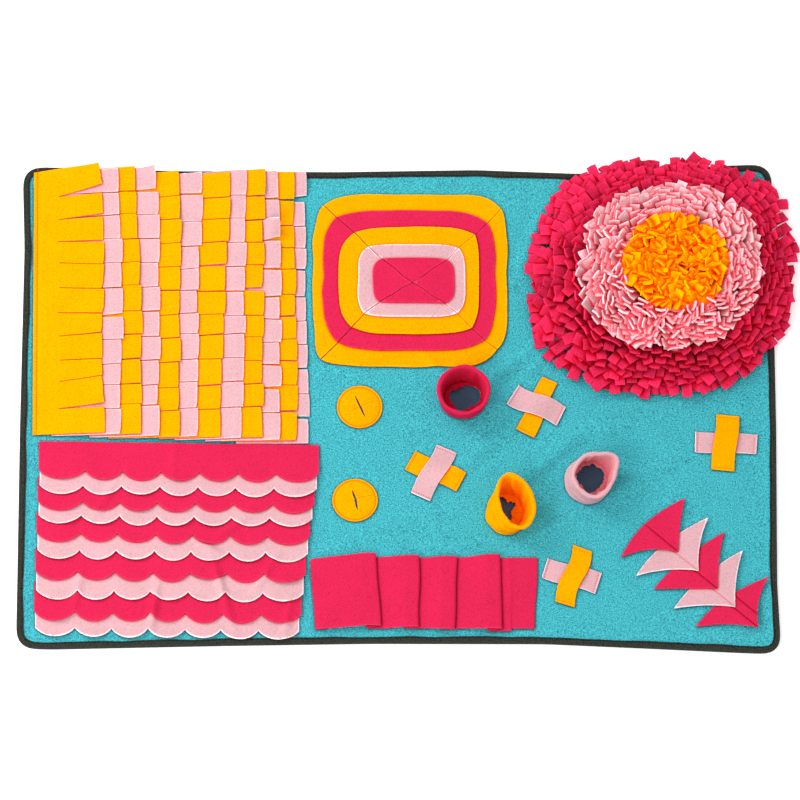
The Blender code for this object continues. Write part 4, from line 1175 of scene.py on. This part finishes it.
def make_cross_strip(cross):
    """One strip of a crossed pair, stitched at both ends; the upper one arches over the other."""
    corners = np.array(cross.corners, float)
    length = np.mean([np.linalg.norm(side) for side in (corners[3] - corners[0], corners[2] - corners[1])])
    over = cross.part == "over"
    outline = [(0, 0), (CROSS_LENGTH, 0), (CROSS_LENGTH, CROSS_WIDTH), (0, CROSS_WIDTH)]
    seams = (CROSS_STITCH_INSET, CROSS_LENGTH - CROSS_STITCH_INSET)

    def place(along, across):
        s, t = along / CROSS_LENGTH, across / CROSS_WIDTH
        near = mix(corners[0], corners[3], s[:, None])
        far = mix(corners[1], corners[2], s[:, None])
        sideways = unit(corners[1] - corners[0]) * (cross.bow * np.sin(2 * math.pi * s))[:, None]
        x, y = (mix(near, far, t[:, None]) + sideways).T
        bulge = np.sin(math.pi * s) ** 2
        if over:
            rise = np.interp(np.abs(s - 0.5) * length, *zip(*CROSS_ARCH))
            rise = rise + 0.5 * bulge * ripple(x, y, 70 + cross.number, 30.0)
        else:
            # Two humps, one on each side of the middle, about as high as the lift.
            rise = cross.lift * bulge * np.abs(np.cos(math.pi * s)) * 2.6
        ends = np.minimum(along, CROSS_LENGTH - along)
        groove = mound(ends - CROSS_STITCH_INSET, *CROSS_GROOVE)
        curl = mound(ends, *CROSS_CURL)
        return x, y, LAID_Z + ground(x, y) + GAP / 2 + rise - groove + curl

    node = f"cross_{cross.number}_{cross.part}"
    guides = [[(seam + off, 0.6), (seam + off, CROSS_WIDTH - 0.6)]
              for seam in seams for off in (-1.4, 0, 1.4)]
    below = f"cross_{cross.number}_under_cloth" if over else PANEL_CLOTH
    # Its cut edges get a weaker painted highlight.
    cut_piece(node, cross.colour, outline, place, 2.6, guides=guides, rests_on=[below],
              seed=70 + cross.number, edge=0.72)
    across = np.arange(1.0, CROSS_WIDTH, 1.0)
    lines = [np.column_stack(place(np.full(len(across), seam), across)) + (0, 0, FLEECE / 2)
             for seam in seams]
    thread = "orange_thread" if cross.colour == "yellow" else "red_thread"
    add_stitches(f"{node}_stitches", thread, lines, stitch=2.5, gap=1.3)


# ---------------------------------------------------------------- tubes

def away_from(turn, degrees):
    """How far each direction is from one in degrees, in radians from -pi to pi."""
    return (turn - math.radians(degrees) + math.pi) % (2 * math.pi) - math.pi


def tube_path(tube):
    """Up the outside, over the rim and down inside: share of the height, and distance inwards."""
    fold_radius = (TUBE_WALL - FLEECE) / 2
    top = 1 - (fold_radius + FLEECE / 2) / tube.height
    spread, level = TUBE_FLARE
    path = [(rise, FLEECE / 2 - spread * (1 - rise / level) * (rise < level))
            for rise in np.linspace(0.02, top, 21)]
    for angle in math.pi * np.arange(1, 8) / 8:
        path.append((top + fold_radius * math.sin(angle) / tube.height,
                     TUBE_WALL / 2 - fold_radius * math.cos(angle)))
    return path + [(rise, TUBE_WALL - FLEECE / 2) for rise in np.linspace(top, 0.05, 14)]


def tube_ring(tube, turn, gathers, rise, inward):
    """The cloth round a tube at one place of its path, with its wrinkles, grooves and creases."""
    centre_x, centre_y, rx, ry = mix(np.array(tube.foot), np.array(tube.rim), rise)
    z = tube.height * rise
    outside = inward < TUBE_WALL / 2
    wrinkle = ripple(centre_x + rx * np.cos(turn) + 0.5 * z, centre_y + ry * np.sin(turn),
                     tube.seed, 15.0 if outside else 12.0)
    if outside:
        sag = 0.8 * ripple(turn * 12, np.full(len(turn), 1.4 * z), tube.seed + 3, 9.0)
        wrinkle = 0.9 * wrinkle + sag * smooth(1.6 - 2 * rise)
        for level, groove in TUBE_GROOVES:
            wavy = rise - level - 0.05 * np.sin(3 * turn + tube.seed)
            wrinkle = wrinkle - mound(wavy, groove, TUBE_GROOVE_WIDTH)
    else:
        creases = sum(mound(np.degrees(away_from(turn, at)), 1.0, TUBE_CREASE_WIDTH) for at in tube.creases)
        wrinkle = 1.2 * wrinkle + 0.8 * gathers * smooth(1 - rise / 0.5)
        wrinkle = wrinkle - TUBE_CREASE * creases * smooth((rise - 0.1) / 0.3) * smooth((1.08 - rise) / 0.25)
    corners = sum(mound(away_from(turn, at), size, TUBE_CORNER_WIDTH) for at, size in tube.corners)
    reach = corners * rise - inward + wrinkle * (1 - abs(rise - 0.5) * 0.9)
    side, ahead = (rx + reach) * np.cos(turn), (ry + reach) * np.sin(turn)
    sway = math.radians(tube.turn) * rise
    x = centre_x + side * math.cos(sway) - ahead * math.sin(sway)
    y = centre_y + side * math.sin(sway) + ahead * math.cos(sway)
    wave = 1.2 * rise ** 3 * ripple(x, y, tube.seed + 1, 34.0)
    return np.column_stack([x, y, CLOTH_Z + z + ground(x, y) * (1 - rise) + wave])


def tube_foot(tube, turn, gathers, inner):
    """Rings of cloth from the inner wall's end, gathered in to the edge of the hole."""
    middle = np.array(tube.foot[:2])
    hole = np.array(tube.hole, float)
    angles = np.arctan2(hole[:, 1], hole[:, 0])
    order = np.argsort(angles)
    reach = np.interp(turn, angles[order] % (2 * math.pi), np.hypot(*hole.T)[order], period=2 * math.pi)
    reach = reach + 0.7 * gathers + 0.5 * np.sin(turn * 29)
    limit = np.hypot(*(inner[:, :2] - middle).T) - 1.4
    reach = np.minimum(reach, limit)
    edge = middle + reach[:, None] * np.column_stack([np.cos(turn), np.sin(turn)])
    rings = []
    for share in TUBE_SPREAD:
        x, y = mix(inner[:, :2], edge, share).T
        pucker = 0.65 * math.sin(math.pi * share * 0.8) * (1 + gathers)
        z = LAID_Z + 0.2 + ground(x, y) + 1.6 * (1 - share) + pucker
        rings.append(np.column_stack([x, y, z]))
    return rings


def make_tube(tube):
    """One sheet that goes up, over the rim and down inside to a gathered edge round the hole."""
    turn = np.linspace(0, 2 * math.pi, TUBE_POINTS, endpoint=False)
    gathers = np.sin(turn * TUBE_GATHERS + 1.5 * np.sin(turn * 3))
    path = tube_path(tube)
    rings = [tube_ring(tube, turn, gathers, rise, inward) for rise, inward in path]
    # Painted shade: the inner wall takes the shade colour, strongest near the foot, and so does the gathered
    # cloth round the hole.
    hollow = [0.0 if inward < TUBE_WALL / 2 else 0.75 - 0.7 * rise ** 2 for rise, inward in path]
    rings += tube_foot(tube, turn, gathers, rings[-1])
    hollow += [0.75] * len(TUBE_SPREAD)
    rings = np.array(rings)
    across = np.linalg.norm(np.diff(rings, axis=0), axis=2).mean(1).sum()
    round_it = np.linalg.norm(np.diff(rings, axis=1), axis=2).sum(1).mean()
    sheet_piece(tube.name, tube.colour, rings.reshape(-1, 3), grid_triangles(len(rings), len(turn), True),
                (across, round_it), held="folded", seed=90, hollow=np.repeat(hollow, len(turn)))


# ---------------------------------------------------------------- pleats and arrows

def make_pleats():
    """One strip folded to and fro, so that each panel overlaps the next one's left edge."""
    level = FLEECE + GAP
    first, last = PLEATS[0], PLEATS[-1]
    stations = [(PLEAT_LEFT[0] + far, PLEAT_LEFT[1] + near, rise,
                 first.far_left - tuck, first.near_left + tuck) for far, near, rise, tuck in PLEAT_START]
    for panel, following in zip(PLEATS, PLEATS[1:]):
        ends = ((panel.far_right, panel.near_right), (following.far_left, following.near_left))
        stations += [(panel.right_far - off, panel.right_near - off, rise, *ends[hidden])
                     for off, rise, hidden in PLEAT_FOLD]
    stations += [(last.right_far - off, last.right_near - off, rise, last.far_right, last.near_right)
                 for off, rise in PLEAT_END]
    stations = np.array(stations)
    reach = reach_along(np.column_stack([stations[:, :2].mean(1), stations[:, 2] * level]))
    at = np.unique(np.concatenate([reach, np.arange(0, reach[-1], 3.0)]))
    x_far, x_near, rise, y_far, y_near = (np.interp(at, reach, column) for column in stations.T)
    share = np.linspace(0, 1, 31)[:, None]
    x, y = mix(x_near, x_far, share), mix(y_near, y_far, share)
    x = x + 0.8 * np.sin(share * math.pi * 2.2) * np.sin(at / 40)
    swell = waves("pleats", x, y, 77) + mound(np.abs(share - 0.5) - 0.5, *PLEAT_RIM)
    z = LAID_Z + level * rise + ground(x, y) + 0.45 * swell * (1 + rise)
    cloth = np.stack([x, y, z], axis=2)
    sheet_piece("pleated_strip", "hot_pink", cloth.reshape(-1, 3), grid_triangles(len(share), len(at)),
                (PLEAT_WIDTH, reach[-1]), held="folded", seed=95)
    seam = cloth[:, np.searchsorted(at, reach[-1] - 3.0)] + (0, 0, FLEECE / 2)
    add_stitches("pleated_strip_stitches", "red_thread", [seam], stitch=2.6, radius=0.25)


def bowed(start, end, bow, steps=10):
    """Points from start to end, bent sideways by bow to the left of the way there."""
    start, end = np.array(start, float), np.array(end, float)
    share = np.linspace(0, 1, steps, endpoint=False)[:, None]
    return mix(start, end, share) + across_way(start, end) * bow * 4 * share * (1 - share)


def make_arrow(number, arrow):
    """A cut arrow piece with a pinched crease from its back to its nose; the first is on top."""
    spine = unit(np.array(ARROW_SPINE))
    back, nose = np.array(arrow.back), np.array(arrow.nose)
    to_nose, across_spine = unit(nose - back), across_way(back, nose)
    outline = np.concatenate([
        bowed(arrow.far_tip, back, -ARROW_BACK_BOW), bowed(back, arrow.near_tip, -ARROW_BACK_BOW),
        bowed(arrow.near_tip, nose, arrow.near_bow), bowed(nose, arrow.far_tip, arrow.far_bow)])

    def place(x, y):
        spot = np.stack([x, y], axis=1) - back
        aside = spot @ across_spine
        reach = spot @ to_nose / np.linalg.norm(nose - back)
        z = LAID_Z + ground(x, y) + np.maximum(0, ARROW_RISE * (spot @ spine))
        z = z + ARROW_EDGE_SLOPE * np.maximum(0, x - ARROW_EDGE_X)
        height, width = ARROW_SHOULDERS
        crease = 0.0
        for off in arrow.creases:
            beside = np.abs(aside - off)
            shoulder = height * np.exp(-(beside / width) ** 1.5)
            crease = crease + mound(beside, *ARROW_CREASE) - shoulder
        crease = crease * smooth((reach + 0.1) / 0.3) * (0.6 if arrow.colour == "light_pink" else 1.0)
        rise, start, width = ARROW_TIPS
        tips = rise * smooth((np.abs(aside) - start) / width) + waves("arrow", x, y, 50 + number)
        return x, y, z - crease + tips + 0.2

    guides = [[mix(back, nose, share) + across_spine * off for share in (0.06, 0.96)]
              for off in np.add.outer(arrow.creases, (-1.7, -0.8, 0, 0.8, 1.7)).ravel()]
    cut_piece(f"arrow_{number}", arrow.colour, outline, place, 2.8, guides=guides,
              rests_on=[next_cloth("arrow_{}", number, len(ARROWS))], seed=50 + number)


# ---------------------------------------------------------------- flower

def tab_mesh(base, tip, length, width, twist, stand, cup):
    """Closed ribbons of cloth, one for each base and tip, bent in an upright plane.

    Every argument holds one value for each tab.
    """
    count = len(base)
    rows, columns = TAB_CELLS[1] + 1, TAB_CELLS[0] + 1
    chord = tip - base
    span = np.linalg.norm(chord, axis=1)
    lean = np.arctan2(np.hypot(chord[:, 0], chord[:, 1]), chord[:, 2])
    bend = np.sqrt(np.clip(6 * (1 - span / length), 0.0, 1.4)) * -stand
    heading = unit(np.column_stack([chord[:, :2], np.zeros(count)]))
    fine = np.linspace(0, 1, 4 * TAB_CELLS[1] + 1)
    angle = lean[:, None] + bend[:, None] * (2 * fine - 1)
    step = (length / (len(fine) - 1))[:, None]
    start = np.zeros((count, 1))
    out = np.concatenate([start, np.cumsum(np.sin(angle[:, 1:]) * step, axis=1)], axis=1)
    up = np.concatenate([start, np.cumsum(np.cos(angle[:, 1:]) * step, axis=1)], axis=1)
    out, up, angle = out[:, ::4], up[:, ::4], angle[:, ::4]
    centre = base[:, None, :] + heading[:, None, :] * out[..., None]
    centre[..., 2] += up
    tangent = heading[:, None, :] * np.sin(angle)[..., None]
    tangent[..., 2] += np.cos(angle)
    flat_side = np.cross((0.0, 0.0, 1.0), heading)[:, None, :] * np.ones_like(tangent)
    other = np.cross(tangent, flat_side)
    turn = (twist[:, None] * smooth(np.linspace(0, 1, rows) * 1.3))[..., None]
    side = flat_side * np.cos(turn) + other * np.sin(turn)
    normal = np.cross(tangent, side)
    across = np.linspace(-1, 1, columns)[:, None]
    cup = cup[:, None, None, None] * across ** 2
    half_width = width[:, None, None, None] / 2
    spots = centre[:, :, None] + side[:, :, None] * (across * half_width) + normal[:, :, None] * cup
    layers = [spots + normal[:, :, None] * off for off in (TAB_THICKNESS / 2, -TAB_THICKNESS / 2)]
    points = np.concatenate([layer.reshape(count, -1, 3) for layer in layers], axis=1)

    half_count = rows * columns
    face = grid_quads(rows, columns)
    rim = np.concatenate([np.arange(columns), np.arange(2, rows + 1) * columns - 1,
                          (rows - 1) * columns + np.arange(columns - 2, -1, -1),
                          np.arange(rows - 2, 0, -1) * columns])
    following = np.roll(rim, -1)
    wall = np.stack([following, rim, rim + half_count, following + half_count], axis=1)
    quads = np.concatenate([face, face[:, ::-1] + half_count, wall])
    quads = quads[None] + (np.arange(count) * 2 * half_count)[:, None, None]
    # The rims of both faces carry the painted highlight.
    border = np.zeros(2 * half_count)
    border[rim] = border[rim + half_count] = TAB_HIGHLIGHT
    return points.reshape(-1, 3), quads.reshape(-1, 4), np.tile(border, count)


def stands_at(ring, angle):
    """Disorder and stand of the tabs of a ring in a direction."""
    sectors, disorders, stands = zip(*ring.stands)
    return [np.interp(np.degrees(angle) % 360, sectors, values, period=360) for values in (disorders, stands)]


def tabs_in_rows(ring):
    """Tabs in rows round the flower; their heading and stand change smoothly."""
    radius, angle = [], []
    for number, row in enumerate(np.arange(ring.outer, ring.inner, -ring.spacing)):
        count = max(1, round(2 * math.pi * row / ring.pitch))
        radius.append(np.full(count, row))
        angle.append((np.arange(count) + 0.5 * (number % 2)) / count * 2 * math.pi)
    radius, angle = np.concatenate(radius), np.concatenate(angle)
    x, y = radius * np.cos(angle), radius * np.sin(angle)
    disorder, stand = stands_at(ring, angle)
    heading = angle + disorder * ring.heading_spread * ripple(x, y, ring.seed + 3, RIPPLE_SIZE)
    return x, y, heading, stand + disorder * ring.stand_spread * ripple(x, y, ring.seed + 7, RIPPLE_SIZE)


def tabs_in_patches(ring, rng):
    """Tabs in patches, each a stack of rows of tabs that all head one way."""
    span = ring.outer * 1.15
    count = int((2 * span / ring.patch) ** 2)
    middles = rng.uniform(-span, span, (2, count))
    outward = np.arctan2(middles[1], middles[0])
    disorder, stand = stands_at(ring, outward)
    heading = outward + disorder * ring.heading_spread * rng.uniform(-1, 1, count)
    stand = stand + disorder * ring.stand_spread * rng.uniform(-1, 1, count)
    reach = PATCH_REACH * ring.patch
    found = []
    for number, middle in enumerate(middles.T):
        rows = np.arange(-reach, reach, mix(ring.spacing, ring.tight, disorder[number]))
        across, along = np.meshgrid(np.arange(-reach, reach, ring.pitch), rows)
        across = across + (np.arange(len(rows)) % 2)[:, None] * ring.pitch / 2
        cos, sin = math.cos(heading[number]), math.sin(heading[number])
        x = (middle[0] + along * cos - across * sin).ravel()
        y = (middle[1] + along * sin + across * cos).ravel()
        closest = np.argmin((x[:, None] - middles[0]) ** 2 + (y[:, None] - middles[1]) ** 2, axis=1)
        away = np.hypot(x, y)
        keep = (closest == number) & (away < ring.outer) & (away >= ring.inner)
        drift = np.arctan2(y, x) - outward[number]
        drift = np.arctan2(np.sin(drift), np.cos(drift)) * (1 - disorder[number])
        found.append(np.stack([x, y, heading[number] + drift, np.full(len(x), stand[number])])[:, keep])
    return np.concatenate(found, axis=1)


def make_flower_ring(node, ring):
    """The cut tabs of one ring, as one mesh; the tips are set first, and the feet follow."""
    rng = np.random.default_rng(ring.seed)
    floor_z = CLOTH_Z + FLOWER_FOOT
    x, y, heading, stand = tabs_in_patches(ring, rng) if ring.patch else tabs_in_rows(ring)
    count = len(x)
    radius, angle = np.hypot(x, y), np.arctan2(y, x)
    height = np.interp(radius, ring.radii, ring.heights) + rng.uniform(-1, 1, count) * ring.height_spread
    angle = angle + rng.uniform(-1, 1, count) * TAB_SHIFT / np.maximum(radius, 12)
    radius = radius + rng.uniform(-1, 1, count) * ring.radius_spread
    stray = rng.exponential(TAB_STRAY[0], count) * (radius > FLOWER_REACH - ring.spacing)
    radius = radius + np.minimum(stray, TAB_STRAY[1])
    swell = np.interp(np.degrees(angle) % 360, *zip(*FLOWER_OUTLINE), period=360) / FLOWER_REACH - 1
    reach = radius * (1 + swell * radius / FLOWER_REACH)
    shift = np.interp(radius, FLOWER_SHIFT_RADII, FLOWER_SHIFTS)
    tip = np.column_stack([FLOWER[0] + shift + reach * np.cos(angle),
                           FLOWER[1] + reach * np.sin(angle), height])
    climb = height - floor_z
    length = ring.length * rng.uniform(*TAB_LENGTHS, count)
    length = np.maximum(length, climb * 1.01 / (1 - ring.slack))
    out = np.sqrt(((1 - ring.slack) * length) ** 2 - climb ** 2)
    heading = heading + rng.normal(0, TAB_HEADING, count)
    base = tip - np.column_stack([out * np.cos(heading), out * np.sin(heading), climb])
    twist = np.radians(rng.normal(0, TAB_TWIST, count))
    stand = np.clip(stand + rng.normal(0, TAB_STAND, count), -1, 1)
    width = ring.width * rng.uniform(*TAB_WIDTHS, count)
    cup = rng.uniform(-TAB_CUP, TAB_CUP, count)
    points, quads, border = tab_mesh(base, tip, length, width, twist, stand, cup)
    points[:, 2] = np.maximum(points[:, 2], CLOTH_Z + 0.1 + ground(points[:, 0], points[:, 1]))
    # Each tab's tone differs at random around the ring's painted brightening.
    tone = np.repeat(ring.bright + rng.uniform(-TAB_TONE, TAB_TONE, count), len(points) // count)
    piece = make_object(f"{node}_tabs", f"{ring.colour}_tabs", points, quads=quads, border=border,
                        tone=tone, sharp=40)
    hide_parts(node)


# ---------------------------------------------------------------- camera and light

def make_camera():
    data = bpy.data.cameras.new("camera")
    data.sensor_width = 36.0
    data.lens = 36.0 * CAMERA_DISTANCE / PICTURE_WIDTH
    data.clip_end = 200.0
    camera = add_object("camera", data)
    tilt = math.radians(CAMERA_ELEVATION)
    back = Vector((0.0, -math.cos(tilt), math.sin(tilt)))
    camera.location = Vector((*CAMERA_TARGET, 0.0)) * MM + back * CAMERA_DISTANCE
    camera.rotation_euler = back.to_track_quat("Z", "Y").to_euler()
    bpy.context.scene.camera = camera


def make_studio():
    """A white floor, an even white sky and two soft lights on the left."""
    bpy.ops.mesh.primitive_plane_add(size=FLOOR_SIZE, location=(0.0, 0.0, FLOOR_Z))
    floor = bpy.context.object
    floor.name = "floor"
    paper = bpy.data.materials.new("paper")
    paper.use_nodes = True
    set_inputs(paper.node_tree.nodes["Principled BSDF"],
               {"Base Color": PAPER, "Roughness": 1.0, "Specular IOR Level": 0.0,
                "Emission Color": WHITE, "Emission Strength": PAPER_GLOW})
    floor.data.materials.append(paper)

    world = bpy.data.worlds.new("studio")
    bpy.context.scene.world = world
    world.use_nodes = True
    set_inputs(world.node_tree.nodes["Background"], {"Color": WHITE, "Strength": SKY_STRENGTH})

    for light in LIGHTS:
        data = bpy.data.lights.new(light.name, "AREA")
        data.shape = "DISK"
        data.size = light.size
        data.energy = light.power
        lamp = add_object(light.name, data)
        lamp.location = light.place
        lamp.rotation_euler = Vector(light.place).to_track_quat("Z", "Y").to_euler()
    bpy.context.scene.view_settings.view_transform = "Standard"


# ---------------------------------------------------------------- making it all

make_camera()
make_studio()
make_mat()
for strip_number, fringe_strip in enumerate(FRINGE, start=1):
    make_fringe_strip(strip_number, fringe_strip)
for strip_number in range(1, len(SCALLOP_HEIGHTS) + 1):
    make_scallop_strip(strip_number)
for layer_number, stacked_flap in enumerate(FLAPS):
    make_flap_layer(layer_number, stacked_flap)
for round_pocket in POCKETS:
    make_pocket(round_pocket)
for crossed_strip in CROSSES:
    make_cross_strip(crossed_strip)
for standing_tube in TUBES:
    make_tube(standing_tube)
make_pleats()
for arrow_number, arrow_piece in enumerate(ARROWS, start=1):
    make_arrow(arrow_number, arrow_piece)
for ring_node, flower_ring in FLOWER_RINGS.items():
    make_flower_ring(ring_node, flower_ring)
